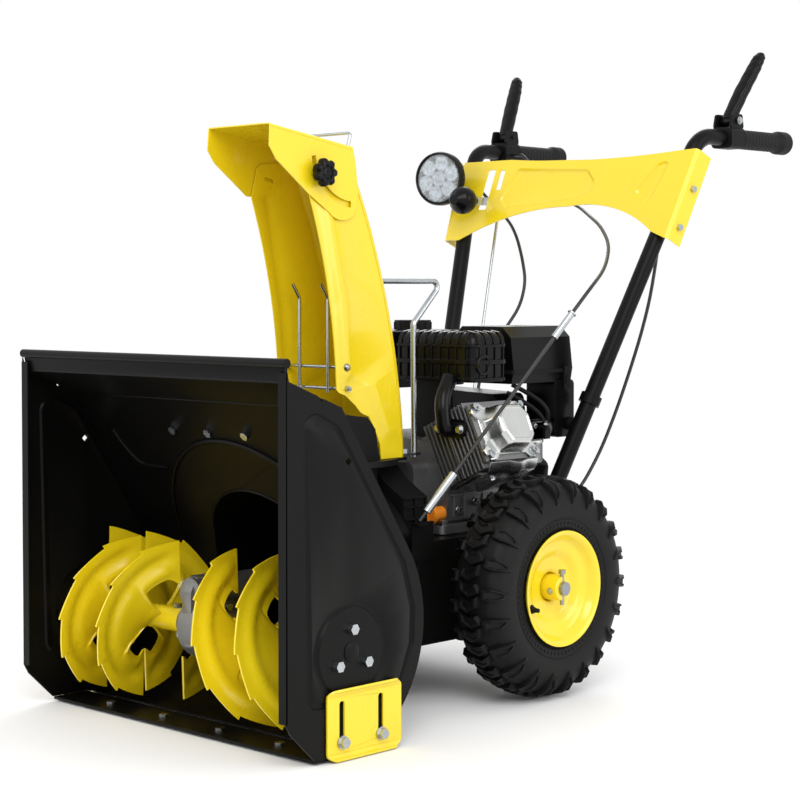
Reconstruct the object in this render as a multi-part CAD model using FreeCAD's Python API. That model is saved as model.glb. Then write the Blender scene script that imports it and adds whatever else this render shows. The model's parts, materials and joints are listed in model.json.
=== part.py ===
"""Two stage snowblower, walk-behind, built as separate sub-parts.

Millimetres.  +Z is up, the auger housing faces -Y and the operator stands at +Y.
The origin is on the ground, under the middle of the machine.
"""
import FreeCAD, Part
import math
import os

from FreeCAD import Vector

os.makedirs("parts", exist_ok=True)

# ---------------------------------------------------------------- driving dimensions
# auger housing
HOUSING_HALF = 280.0
PLATE = 3.0
SHELL = 2.5
SCROLL_Y, SCROLL_Z, SCROLL_R = -515.0, 165.0, 174.0
LIP_Y, LIP_Z = -589.0, 512.0
AUGER_Y, AUGER_Z = -477.5, 137.0
AUGER_R = 119.0
RIBBON_R = 62.0
AUGER_TUBE_R = 17.0
FLIGHT_START, FLIGHT_HALF_PITCH = 60.0, 85.0
FLIGHT_SHEET = 3.0
SHAFT_R = 9.5
RUNNING_GAP = 0.05

# second stage
WORM_CENTRES = 48.0
IMPELLER_Z = AUGER_Z + WORM_CENTRES
WORM_R = 13.4
WHEEL_TEETH = 20
DRUM_R, DRUM_SHEET = 137.0, 3.0
DRUM_BACK_Y = -200.0
IMPELLER_R = 128.0
CHUTE_Y = -225.0
DUCT_HALF, DUCT_FRONT_Y = 56.0, -285.0
FLANGE_R, FLANGE_TOP_Z = 84.0, 349.0

# frame, wheels and drive
BOX_HALF, BOX_FRONT, BOX_BACK, BOX_LOW, BOX_TOP = 137.0, -200.0, 115.0, 90.0, 238.0
BOX_SHEET = 2.5
AXLE_Y, AXLE_Z, AXLE_R = -18.0, 165.0, 10.0
TYRE_R, TYRE_MID_X = 165.0, 214.0
RIM_R = 84.5
GEAR_MODULE, GEAR_TEETH, PINION_TEETH = 2.0, 42, 10
GEAR_X, GEAR_WIDTH = 90.0, 10.0
DRIVE_Y = AXLE_Y - GEAR_MODULE * (GEAR_TEETH + PINION_TEETH) / 2
DRIVE_R = 6.0
FRICTION_WHEEL_R, FRICTION_WHEEL_X = 38.0, -30.0
DISC_R = 64.0
DISC_FACE_Y = DRIVE_Y - FRICTION_WHEEL_R - 1.0
BELT_Y = (-175.0, -155.0)

# engine
CRANK_Z = 317.0
CYLINDER_Y, CYLINDER_Z, CYLINDER_TILT = -46.0, 315.0, 25.5
DECK_Z = 240.0

# chute and deflector
CHUTE_HALF, CHUTE_SHEET = 62.0, 2.0
HOOD_HALF, HOOD_Y, HOOD_Z = 66.0, -262.0, 803.0
SLOT_R, SLOT_BOLT_ANGLE = 77.0, 26.9

# handlebars
TUBE_R, TUBE_WALL = 13.0, 2.0
BAR_X, BAR_Y, BAR_Z = 220.0, 312.0, 760.0
BAR_LEAN_X, BAR_LEAN_Y = 0.194, 0.4125
GRIP_Z, GRIP_START_Y, GRIP_END_Y = 851.0, 458.0, 595.0
LEVER_Y, LEVER_Z = 432.0, 879.0
PANEL_GAP = 15.0


# ---------------------------------------------------------------- shape helpers
def box(x, y, z):
    return Part.makeBox(x[1] - x[0], y[1] - y[0], z[1] - z[0], Vector(x[0], y[0], z[0]))


def rod(radius, start, end):
    start, end = Vector(*start), Vector(*end)
    return Part.makeCylinder(radius, (end - start).Length, start, end - start)


def ring(outer, inner, start, end):
    return rod(outer, start, end).cut(rod(inner, start, end))


def joined(*shapes):
    whole = shapes[0].multiFuse(list(shapes[1:])) if len(shapes) > 1 else shapes[0]
    return whole.removeSplitter()


def less(base, *tools):
    return base.cut(list(tools)).removeSplitter()


def place(axis, along, a, b):
    """A point whose coordinate on the axis is `along`; a and b are the other two, in order."""
    return {"x": Vector(along, a, b), "y": Vector(a, along, b), "z": Vector(a, b, along)}[axis]


def outline_edges(axis, along, points):
    """Edges through flat points; an item ((a, b), (c, d)) is an arc through the first to the second."""
    edges, last = [], place(axis, along, *points[0])
    for item in points[1:]:
        if isinstance(item[0], tuple):
            middle, end = place(axis, along, *item[0]), place(axis, along, *item[1])
            edges.append(Part.Arc(last, middle, end).toShape())
        else:
            end = place(axis, along, *item)
            edges.append(Part.LineSegment(last, end).toShape())
        last = end
    return edges


def prism(axis, span, points):
    """A flat outline, closed with a straight edge, pushed along an axis."""
    closed = list(points) + [points[0]]
    face = Part.Face(Part.Wire(outline_edges(axis, span[0], closed)))
    return face.extrude(place(axis, span[1] - span[0], 0, 0))


def rounded(points, radius):
    """The same corners, each turned into an arc of one radius."""
    result = []
    count = len(points)
    for i, corner in enumerate(points):
        here = Vector(corner[0], corner[1], 0)
        back = (Vector(*points[i - 1], 0) - here).normalize()
        on = (Vector(*points[(i + 1) % count], 0) - here).normalize()
        half = back.getAngle(on) / 2
        reach = radius / math.tan(half)
        bisector = (back + on).normalize()
        start, end = here + back * reach, here + on * reach
        middle = here + bisector * (radius / math.sin(half) - radius)
        result += [(start.x, start.y), ((middle.x, middle.y), (end.x, end.y))]
    return result


def rect(a, b, radius=0.0):
    corners = [(a[0], b[0]), (a[1], b[0]), (a[1], b[1]), (a[0], b[1])]
    return rounded(corners, radius) if radius else corners


def strip(axis, span, points, thickness):
    """Bent sheet: an open outline thickened to one side and pushed along an axis."""
    wire = Part.Wire(outline_edges(axis, span[0], points))
    face = wire.makeOffset2D(thickness, 2, True, True)
    return face.extrude(place(axis, span[1] - span[0], 0, 0))


def bent_path(points, bend=None):
    """Straight runs joined by tangent arcs, and the arcs' radii; no bend means as large as fits."""
    corners = [Vector(*point) for point in points]
    edges, radii, last = [], [], corners[0]
    for before, corner, after in zip(corners, corners[1:], corners[2:]):
        into, out = corner - before, after - corner
        turn = into.getAngle(out)
        if bend is None:
            reach = 0.45 * min(into.Length, out.Length)
        else:
            reach = bend * math.tan(turn / 2)
        radius = reach / math.tan(turn / 2)
        into.normalize()
        out.normalize()
        inward = (out - into).normalize()
        start, end = corner - into * reach, corner + out * reach
        middle = corner + inward * (radius / math.cos(turn / 2) - radius)
        edges.append(Part.LineSegment(last, start).toShape())
        edges.append(Part.Arc(start, middle, end).toShape())
        radii.append(radius)
        last = end
    edges.append(Part.LineSegment(last, corners[-1]).toShape())
    return Part.Wire(edges), radii


def bent_rod(radius, points, bend=None):
    path, radii = bent_path(points, bend)
    first, second = Vector(*points[0]), Vector(*points[1])
    circle = Part.Wire(Part.makeCircle(radius, first, second - first))
    return path.makePipeShell([circle], True, False)


def bent_tube(outer, wall, points, bend=None):
    return bent_rod(outer, points, bend).cut(bent_rod(outer - wall, points, bend))


def loop_face(corners):
    return Part.Face(Part.makePolygon(list(corners) + [corners[0]]))


def faceted(loops):
    """Closed solid through a row of four-cornered loops."""
    faces = [loop_face(loops[0]), loop_face(loops[-1])]
    for here, there in zip(loops, loops[1:]):
        for i in range(4):
            j = (i + 1) % 4
            faces.append(loop_face([here[i], here[j], there[j]]))
            faces.append(loop_face([here[i], there[j], there[i]]))
    shell = Part.makeShell(faces)
    shell.sewShape()
    solid = Part.makeSolid(shell)
    return solid if solid.Volume > 0 else solid.reversed()


def helix_band(axis, centre, stations, thickness):
    """A band winding about an axis; stations are (place on axis, degrees, inner, outer radius)."""
    loops = []
    for along, degrees, inner, outer in stations:
        turn = math.radians(degrees)
        loop = []
        for radius, shift in ((inner, -1), (inner, 1), (outer, 1), (outer, -1)):
            a = centre[0] - radius * math.sin(turn)
            b = centre[1] + radius * math.cos(turn)
            loop.append(place(axis, along + shift * thickness / 2, a, b))
        loops.append(loop)
    return faceted(loops)


def mirrored(shape):
    return shape.mirror(Vector(0, 0, 0), Vector(1, 0, 0))


def hex_head(across, height, base, direction):
    """A six-sided bolt head standing on a point."""
    normal = Vector(*direction)
    radius = across / math.sqrt(3)
    side = normal.cross(Vector(0, 0, 1))
    if side.Length < 0.1:
        side = Vector(1, 0, 0)
    side.normalize()
    up = normal.cross(side)
    corners = []
    for i in range(6):
        angle = math.radians(60 * i)
        corners.append(Vector(*base) + side * radius * math.cos(angle) + up * radius * math.sin(angle))
    return loop_face(corners).extrude(normal * height)


def bolt(across, base, direction, shank, length):
    """Head on the base point, shank going in behind it."""
    normal = Vector(*direction)
    start = Vector(*base)
    inside = Part.makeCylinder(shank, length, start - normal * length, normal)
    return hex_head(across, 0.6 * across, base, direction).fuse(inside).removeSplitter()


def write(name, shape):
    solids = shape.Solids
    if not solids or not shape.isValid():
        raise ValueError(f"{name} isn't a sound solid")
    body = solids[0] if len(solids) == 1 else Part.makeCompound(solids)
    body.exportStep(f"parts/{name}.step")


# ---------------------------------------------------------------- auger housing
def side_outline():
    return [
        (LIP_Y - 2, LIP_Z - 6), (-586.0, 489.0), (-494.0, 453.0), (-369.0, 259.5),
        ((SCROLL_Y + SCROLL_R, SCROLL_Z - 4), (-444.0, 6.0)), (-542.0, 6.0), (-584.5, 46.5), (-592.0, 60.0),
    ]


SIDE_BOLTS = [(AUGER_Y + 30 * math.sin(math.radians(a)), AUGER_Z + 30 * math.cos(math.radians(a)))
              for a in (0, 120, 240)]
CUTTER_HOLES = [(-530.0, 467.0), (-482.0, 383.5)]
SKID_BOLT_Y, SKID_BOLT_Z = (-498.0, -427.0), 24.0
SKID_SLOT_LOW, SKID_SLOT_TOP = 19.5, 77.0


def side_plate():
    plate = prism("x", (HOUSING_HALF - PLATE, HOUSING_HALF), side_outline())
    holes = [rod(4.1, (270, y, z), (290, y, z)) for y, z in SIDE_BOLTS]
    holes += [rod(4.1, (270, y, SKID_BOLT_Z), (290, y, SKID_BOLT_Z)) for y in SKID_BOLT_Y]
    holes.append(rod(12.0, (270, AUGER_Y, AUGER_Z), (290, AUGER_Y, AUGER_Z)))
    for y, z in CUTTER_HOLES:
        holes.append(prism("x", (270, 290), [(y, z - 5.5), (y + 5.5, z), (y, z + 5.5), (y - 5.5, z)]))
    return less(plate, *holes)


def housing_volume():
    return prism("x", (-HOUSING_HALF, HOUSING_HALF), side_outline())


def housing_shell():
    inside = HOUSING_HALF - PLATE
    path = [(-586.0, 489.0), (-494.0, 453.0), (-369.0, 259.5),
            ((SCROLL_Y + SCROLL_R, SCROLL_Z - 4), (-444.0, 6.0)), (-480.0, 6.0)]
    sheet = strip("x", (-inside, inside), path, SHELL)
    front = prism("x", (-inside, inside), [
        (-586.0, 489.0), (-583.5, 490.0), (-587.0, 508.0), (-589.5, 508.0)])
    rolled = rod(6.0, (-HOUSING_HALF, LIP_Y, LIP_Z), (HOUSING_HALF, LIP_Y, LIP_Z))
    whole = joined(sheet, front, rolled)
    inlet = rod(DRUM_R - DRUM_SHEET, (0, -450, IMPELLER_Z), (0, -330, IMPELLER_Z))
    return less(whole, inlet)


def scraper_bar():
    inside = HOUSING_HALF - PLATE
    return box((-inside, inside), (-541, -481), (2.0, 6.0))


def auger_bearings():
    inner = HOUSING_HALF - PLATE
    flange = rod(40, (inner - 4, AUGER_Y, AUGER_Z), (inner, AUGER_Y, AUGER_Z))
    boss = rod(20, (inner - 18, AUGER_Y, AUGER_Z), (inner, AUGER_Y, AUGER_Z))
    cap = rod(11.8, (inner - 4, AUGER_Y, AUGER_Z), (inner + 3, AUGER_Y, AUGER_Z))
    bore = rod(SHAFT_R + RUNNING_GAP, (inner - 30, AUGER_Y, AUGER_Z), (inner, AUGER_Y, AUGER_Z))
    holes = [rod(4.1, (inner - 8, y, z), (inner, y, z)) for y, z in SIDE_BOLTS]
    right = less(joined(flange, boss, cap), bore, *holes)
    return Part.makeCompound([right, mirrored(right)])


def housing_bolts():
    parts = []
    for side in (1, -1):
        for y, z in SIDE_BOLTS:
            parts.append(bolt(13, (side * HOUSING_HALF, y, z), (side, 0, 0), 4.0, 8.0))
    for x in (-180, -60, 60, 180):
        parts.append(rod(7, (x, -511, 6.0), (x, -511, 9.0)))
    for x in (-90, -13, 64):
        parts.append(hex_head(12, 5, (x, -466.15, 405.2), (0, -0.84, -0.5425)))
    return Part.makeCompound(parts)


# ---------------------------------------------------------------- augers, gearbox and impeller
def half_flight(start_x, start_angle):
    """One stamped half-turn flight: a ribbon with a stepped edge and one broad spoke."""
    stations = []
    facets, gap = 6, 2.0
    span = 180.0 - 2 * gap
    for facet in range(facets):
        spoke = facet in (2, 3)
        for part in range(4):
            share = part / 3.0
            angle = gap + span * (facet + share * 0.985) / facets
            inner = AUGER_TUBE_R - 2.0 if spoke else RIBBON_R
            outer = AUGER_R - 5.0 + 5.0 * share
            along = start_x + FLIGHT_HALF_PITCH * angle / 180.0
            stations.append((along, start_angle + angle, inner, outer))
    return helix_band("x", (AUGER_Y, AUGER_Z), stations, FLIGHT_SHEET)


def auger():
    far = FLIGHT_START + 2 * FLIGHT_HALF_PITCH
    tube = rod(AUGER_TUBE_R, (50, AUGER_Y, AUGER_Z), (far + 12, AUGER_Y, AUGER_Z))
    middle = FLIGHT_START + FLIGHT_HALF_PITCH
    flights = [half_flight(x, angle) for x, angle in
               ((FLIGHT_START, 0), (middle, 180), (FLIGHT_START, 180), (middle, 0))]
    bore = rod(SHAFT_R, (40, AUGER_Y, AUGER_Z), (270, AUGER_Y, AUGER_Z))
    pin_hole = rod(3.2, (68, AUGER_Y, AUGER_Z - 30), (68, AUGER_Y, AUGER_Z + 30))
    return less(joined(tube, *flights), bore, pin_hole)


def shear_bolts():
    right = bolt(10, (68, AUGER_Y, AUGER_Z + AUGER_TUBE_R), (0, 0, 1), 3.2, 2 * AUGER_TUBE_R + 8)
    return Part.makeCompound([right, mirrored(right)])


def auger_shaft():
    end = HOUSING_HALF - PLATE - 2
    shaft = rod(SHAFT_R, (-end, AUGER_Y, AUGER_Z), (end, AUGER_Y, AUGER_Z))
    holes = [rod(3.2, (x, AUGER_Y, AUGER_Z - 30), (x, AUGER_Y, AUGER_Z + 30)) for x in (-68, 68)]
    return less(shaft, *holes)


def worm_wheel():
    pitch_r = WORM_CENTRES - 11.4
    wheel = ring(pitch_r + 2.5, SHAFT_R, (-8, AUGER_Y, AUGER_Z), (8, AUGER_Y, AUGER_Z))
    tooth_gaps = []
    for i in range(WHEEL_TEETH):
        gap = box((-9, 9), (-2.6, 2.6), (pitch_r - 2.5, pitch_r + 5))
        gap.rotate(Vector(0, 0, 0), Vector(1, 0, 0), 360.0 * i / WHEEL_TEETH)
        gap.translate(Vector(0, AUGER_Y, AUGER_Z))
        tooth_gaps.append(gap)
    throat = Part.makeTorus(WORM_CENTRES, WORM_R + 0.4, Vector(0, AUGER_Y, AUGER_Z), Vector(1, 0, 0))
    return less(wheel, throat, *tooth_gaps)


def gearbox_housing():
    flange = prism("x", (-7.5, 7.5), rounded([
        (-517, 112), (-517, 188), (-505, 209), (-462, 209), (-436, 196), (-432, 120), (-450, 92), (-483, 81)], 6))
    wheel_case = rod(45, (-16, AUGER_Y, AUGER_Z), (16, AUGER_Y, AUGER_Z))
    shaft_boss = rod(22, (-46, AUGER_Y, AUGER_Z), (46, AUGER_Y, AUGER_Z))
    tunnel = rod(22, (0, -512, IMPELLER_Z), (0, -368, IMPELLER_Z))
    mouth = rod(26, (0, -376, IMPELLER_Z), (0, -364, IMPELLER_Z))
    wheel_room = rod(40, (-10, AUGER_Y, AUGER_Z), (10, AUGER_Y, AUGER_Z))
    worm_room = rod(15, (0, -503, IMPELLER_Z), (0, -440, IMPELLER_Z))
    shaft_bore = rod(SHAFT_R + RUNNING_GAP, (-60, AUGER_Y, AUGER_Z), (60, AUGER_Y, AUGER_Z))
    worm_bore = rod(SHAFT_R + RUNNING_GAP, (0, -508, IMPELLER_Z), (0, -350, IMPELLER_Z))
    return less(joined(flange, wheel_case, shaft_boss, tunnel, mouth),
                wheel_room, worm_room, shaft_bore, worm_bore)


def gearbox_bolts():
    """Round heads on both faces of the wheel case."""
    parts = []
    for degrees in (50, 140, 230, 320):
        turn = math.radians(degrees)
        y, z = AUGER_Y + 33 * math.cos(turn), AUGER_Z + 33 * math.sin(turn)
        parts.append(rod(5, (16, y, z), (20, y, z)))
        parts.append(rod(5, (-20, y, z), (-16, y, z)))
    return Part.makeCompound(parts)


def impeller_shaft():
    back = BELT_Y[0] + 12
    shaft = rod(SHAFT_R, (0, -507, IMPELLER_Z), (0, back, IMPELLER_Z))
    lead = 2 * 2 * math.pi * (WORM_CENTRES - 11.4) / WHEEL_TEETH
    threads = []
    for start in (0, 180):
        stations = []
        for step in range(-22, 23):
            stations.append((AUGER_Y + step * lead / 24, start + step * 15.0, SHAFT_R - 1.0, WORM_R))
        threads.append(helix_band("y", (0, IMPELLER_Z), stations, 4.5))
    return joined(shaft, *threads)


def impeller():
    hub = rod(19, (0, -340, IMPELLER_Z), (0, -208, IMPELLER_Z))
    blades = []
    for i in range(3):
        blade = box((-2, 2), (-332, -214), (15, IMPELLER_R - 2))
        cup = box((-2, 22), (-332, -214), (IMPELLER_R - 6, IMPELLER_R - 2))
        paddle = joined(blade, cup)
        paddle.rotate(Vector(0, 0, 0), Vector(0, 1, 0), 120.0 * i)
        paddle.translate(Vector(0, 0, IMPELLER_Z))
        blades.append(paddle)
    bore = rod(SHAFT_R, (0, -350, IMPELLER_Z), (0, -190, IMPELLER_Z))
    return less(joined(hub, *blades), bore)


def impeller_drum():
    body = rod(DRUM_R, (0, -430, IMPELLER_Z), (0, DRUM_BACK_Y, IMPELLER_Z))
    duct = prism("z", (IMPELLER_Z, FLANGE_TOP_Z), rect((-DUCT_HALF, DUCT_HALF), (DUCT_FRONT_Y, DRUM_BACK_Y)))
    flange = rod(FLANGE_R, (0, CHUTE_Y, FLANGE_TOP_Z - 3.5), (0, CHUTE_Y, FLANGE_TOP_Z))
    outside = joined(body, duct, flange)
    room = rod(DRUM_R - DRUM_SHEET, (0, -440, IMPELLER_Z), (0, DRUM_BACK_Y - DRUM_SHEET, IMPELLER_Z))
    throat = box((-DUCT_HALF + DRUM_SHEET, DUCT_HALF - DRUM_SHEET),
                 (DUCT_FRONT_Y + DRUM_SHEET, DRUM_BACK_Y - DRUM_SHEET), (IMPELLER_Z, FLANGE_TOP_Z + 5))
    bore = rod(SHAFT_R + 3, (0, -210, IMPELLER_Z), (0, -190, IMPELLER_Z))
    drum = less(outside, room, throat, bore)
    return less(drum, housing_volume())


def impeller_bearing():
    inner = BOX_FRONT + BOX_SHEET
    flange = rod(32, (0, inner, IMPELLER_Z), (0, inner + 4, IMPELLER_Z))
    boss = rod(17, (0, inner, IMPELLER_Z), (0, inner + 9, IMPELLER_Z))
    spigot = rod(SHAFT_R + 2.9, (0, BOX_FRONT - DRUM_SHEET, IMPELLER_Z), (0, inner, IMPELLER_Z))
    bore = rod(SHAFT_R + RUNNING_GAP, (0, -230, IMPELLER_Z), (0, -170, IMPELLER_Z))
    return less(joined(flange, boss, spigot), bore)


def pulley(radius, bore, y, z, width=13.0):
    """V-belt pulley: two rims with a narrower drum between them."""
    start, end = y - width / 2, y + width / 2
    drum = rod(radius - 9, (0, start, z), (0, end, z))
    rims = [rod(radius, (0, edge - 1.25, z), (0, edge + 1.25, z)) for edge in (start + 1.25, end - 1.25)]
    return joined(drum, *rims).cut(rod(bore, (0, start - 5, z), (0, end + 5, z)))


IMPELLER_PULLEY_R, DISC_PULLEY_R, ENGINE_PULLEY_R = 62.0, 58.0, 22.0


def engine_pulley():
    """Crankshaft end with its two-groove pulley."""
    first = pulley(ENGINE_PULLEY_R, 8.0, BELT_Y[0], CRANK_Z)
    second = pulley(ENGINE_PULLEY_R, 8.0, BELT_Y[1], CRANK_Z)
    spacer = ring(ENGINE_PULLEY_R - 9, 8.0, (0, BELT_Y[0] + 6.5, CRANK_Z), (0, BELT_Y[1] - 6.5, CRANK_Z))
    stub = rod(8.0, (0, BELT_Y[0] - 8, CRANK_Z), (0, -95, CRANK_Z))
    return joined(first, second, spacer, stub)


def belt(y, low_r, low_z):
    """A slack belt's outline round the two pulleys, clear of both."""
    def racetrack(extra):
        top_r, bottom_r = ENGINE_PULLEY_R - 8.5 + extra, low_r - 8.5 + extra
        height = CRANK_Z - low_z
        slope = math.asin((bottom_r - top_r) / height)
        cos, sin = math.cos(slope), math.sin(slope)
        points = [(bottom_r * cos, low_z + bottom_r * sin), (top_r * cos, CRANK_Z + top_r * sin),
                  ((0, CRANK_Z + top_r), (-top_r * cos, CRANK_Z + top_r * sin)),
                  (-bottom_r * cos, low_z + bottom_r * sin),
                  ((0, low_z - bottom_r), (bottom_r * cos, low_z + bottom_r * sin))]
        face = Part.Face(Part.Wire(outline_edges("y", y - 3.6, points)))
        return face.extrude(Vector(0, 7.2, 0))
    return racetrack(8.0).cut(racetrack(0.0))


def drive_belts():
    return Part.makeCompound([belt(BELT_Y[0], IMPELLER_PULLEY_R, IMPELLER_Z),
                              belt(BELT_Y[1], DISC_PULLEY_R, AXLE_Z)])


# ---------------------------------------------------------------- frame and drive
def frame_box():
    outer = box((-BOX_HALF, BOX_HALF), (BOX_FRONT, BOX_BACK), (BOX_LOW, BOX_TOP))
    inner = box((-BOX_HALF + BOX_SHEET, BOX_HALF - BOX_SHEET), (BOX_FRONT + BOX_SHEET, BOX_BACK - BOX_SHEET),
                (BOX_LOW - 5, BOX_TOP - BOX_SHEET))
    belt_slot = box((-96, 96), (-190, -147), (BOX_TOP - 5, BOX_TOP + 5))
    axle_hole = rod(16, (-150, AXLE_Y, AXLE_Z), (150, AXLE_Y, AXLE_Z))
    shaft_hole = rod(9, (-150, DRIVE_Y, AXLE_Z), (150, DRIVE_Y, AXLE_Z))
    impeller_hole = rod(SHAFT_R + 3, (0, -205, IMPELLER_Z), (0, -195, IMPELLER_Z))
    return less(outer, inner, belt_slot, axle_hole, shaft_hole, impeller_hole)


def frame_cover():
    """Bottom cover with a turned-down edge."""
    return box((-BOX_HALF, BOX_HALF), (BOX_FRONT, BOX_BACK), (BOX_LOW - 2.5, BOX_LOW))


def disc_bracket():
    """Cross plate that carries the friction disc's bearing."""
    half = BOX_HALF - BOX_SHEET
    plate = box((-half, half), (-142, -138), (BOX_LOW, BOX_TOP - BOX_SHEET))
    boss = rod(17, (0, -146, AXLE_Z), (0, -124, AXLE_Z))
    crank_room = rod(17, (0, -160, CRANK_Z), (0, -120, CRANK_Z))
    return less(joined(plate, boss), rod(8 + RUNNING_GAP, (0, -150, AXLE_Z), (0, -120, AXLE_Z)), crank_room)


def axle_bearings():
    inner = BOX_HALF - BOX_SHEET
    def bearing(y, outer, bore):
        sleeve = rod(outer, (inner - 8, y, AXLE_Z), (BOX_HALF + 6, y, AXLE_Z))
        collar = rod(outer + 7, (BOX_HALF, y, AXLE_Z), (BOX_HALF + 3, y, AXLE_Z))
        return joined(sleeve, collar).cut(rod(bore, (100, y, AXLE_Z), (160, y, AXLE_Z)))
    right = [bearing(AXLE_Y, 16.0, AXLE_R + RUNNING_GAP), bearing(DRIVE_Y, 9.0, DRIVE_R + RUNNING_GAP)]
    return Part.makeCompound(right + [mirrored(shape) for shape in right])


def spur_gear(teeth, x, width, bore, y, phase):
    """Straight-sided teeth on a disc; phase in degrees turns the first tooth from +Y."""
    pitch_r = GEAR_MODULE * teeth / 2
    root_r, tip_r = pitch_r - 1.15 * GEAR_MODULE, pitch_r + 0.7 * GEAR_MODULE
    pitch_half = 0.40 * math.pi * GEAR_MODULE / 2
    disc = rod(root_r, (0, 0, 0), (width, 0, 0))
    tooth_shapes = []
    for i in range(teeth):
        tooth = prism("x", (0, width), [
            (root_r - 1.5, -1.5 * pitch_half), (pitch_r, -pitch_half), (tip_r, -0.55 * pitch_half),
            (tip_r, 0.55 * pitch_half), (pitch_r, pitch_half), (root_r - 1.5, 1.5 * pitch_half)])
        tooth.rotate(Vector(0, 0, 0), Vector(1, 0, 0), phase + 360.0 * i / teeth)
        tooth_shapes.append(tooth)
    gear = joined(disc, *tooth_shapes).cut(rod(bore, (-5, 0, 0), (width + 5, 0, 0)))
    gear.translate(Vector(x, y, AXLE_Z))
    return gear


def axle():
    end = TYRE_MID_X + 51
    shaft = rod(AXLE_R, (-end, AXLE_Y, AXLE_Z), (end, AXLE_Y, AXLE_Z))
    holes = [rod(3.1, (x, AXLE_Y, AXLE_Z - 30), (x, AXLE_Y, AXLE_Z + 30)) for x in (-HUB_PIN_X, HUB_PIN_X)]
    return less(shaft, *holes)


HUB_PIN_X = 257.0


def axle_gear():
    return spur_gear(GEAR_TEETH, GEAR_X - GEAR_WIDTH / 2, GEAR_WIDTH, AXLE_R, AXLE_Y, 180.0)


def drive_shaft():
    end = BOX_HALF + 8
    shaft = rod(DRIVE_R, (-end, DRIVE_Y, AXLE_Z), (end, DRIVE_Y, AXLE_Z))
    flats = box((-110, GEAR_X - 12), (DRIVE_Y - 10, DRIVE_Y - 5), (AXLE_Z - 10, AXLE_Z + 10))
    pinion = spur_gear(PINION_TEETH, GEAR_X - GEAR_WIDTH / 2 - 1, GEAR_WIDTH + 2, DRIVE_R - 1, DRIVE_Y,
                       180.0 / PINION_TEETH)
    return joined(less(shaft, flats), pinion)


def friction_wheel():
    """Rubber-tyred wheel and its grooved hub, free to slide on the drive shaft."""
    x = FRICTION_WHEEL_X
    tread = rod(FRICTION_WHEEL_R, (x - 4, DRIVE_Y, AXLE_Z), (x + 4, DRIVE_Y, AXLE_Z))
    hub = rod(15, (x, DRIVE_Y, AXLE_Z), (x + 26, DRIVE_Y, AXLE_Z))
    groove = ring(20, 12, (x + 14, DRIVE_Y, AXLE_Z), (x + 20, DRIVE_Y, AXLE_Z))
    bore = rod(DRIVE_R + RUNNING_GAP, (x - 40, DRIVE_Y, AXLE_Z), (x + 40, DRIVE_Y, AXLE_Z))
    return less(joined(tread, hub), groove, bore)


def friction_disc():
    plate = rod(DISC_R, (0, DISC_FACE_Y - 8, AXLE_Z), (0, DISC_FACE_Y, AXLE_Z))
    shaft = rod(8, (0, BELT_Y[1] - 7.5, AXLE_Z), (0, DISC_FACE_Y - 8, AXLE_Z))
    return joined(plate, shaft)


def rim(side):
    """Stepped wheel disc with a long hub tube."""
    face = TYRE_MID_X + 49
    points = [(20, face - 26), (46, face - 26), (56, face - 14), (RIM_R - 10, face - 14), (RIM_R - 4, face - 2),
              (RIM_R, face - 2), (RIM_R, face), (RIM_R - 6, face), (RIM_R - 13, face - 11.5),
              (57, face - 11.5), (47, face - 23.5), (20, face - 23.5)]
    profile = Part.makePolygon([Vector(x, 0, r) for r, x in points] + [Vector(points[0][1], 0, points[0][0])])
    disc = Part.Face(profile).revolve(Vector(0, 0, 0), Vector(1, 0, 0), 360)
    disc.translate(Vector(0, AXLE_Y, AXLE_Z))
    barrel = ring(RIM_R - 6, RIM_R - 9, (TYRE_MID_X - 44, AXLE_Y, AXLE_Z), (face - 10, AXLE_Y, AXLE_Z))
    inner_lip = ring(RIM_R, RIM_R - 9, (TYRE_MID_X - 46, AXLE_Y, AXLE_Z), (TYRE_MID_X - 43, AXLE_Y, AXLE_Z))
    hub = rod(21, (160, AXLE_Y, AXLE_Z), (face - 3, AXLE_Y, AXLE_Z))
    bore = rod(AXLE_R, (150, AXLE_Y, AXLE_Z), (face + 10, AXLE_Y, AXLE_Z))
    pin = rod(3.1, (HUB_PIN_X, AXLE_Y, AXLE_Z - 30), (HUB_PIN_X, AXLE_Y, AXLE_Z + 30))
    valve = rod(6, (face - 30, AXLE_Y + 10, AXLE_Z + 64), (face, AXLE_Y + 10, AXLE_Z + 64))
    whole = less(joined(disc, barrel, inner_lip, hub), bore, pin, valve)
    return whole if side > 0 else mirrored(whole)


def hub_pins():
    right = bolt(10, (HUB_PIN_X, AXLE_Y, AXLE_Z + 21.5), (0, 0, 1), 3.1, 46)
    return Part.makeCompound([right, mirrored(right)])


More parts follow.
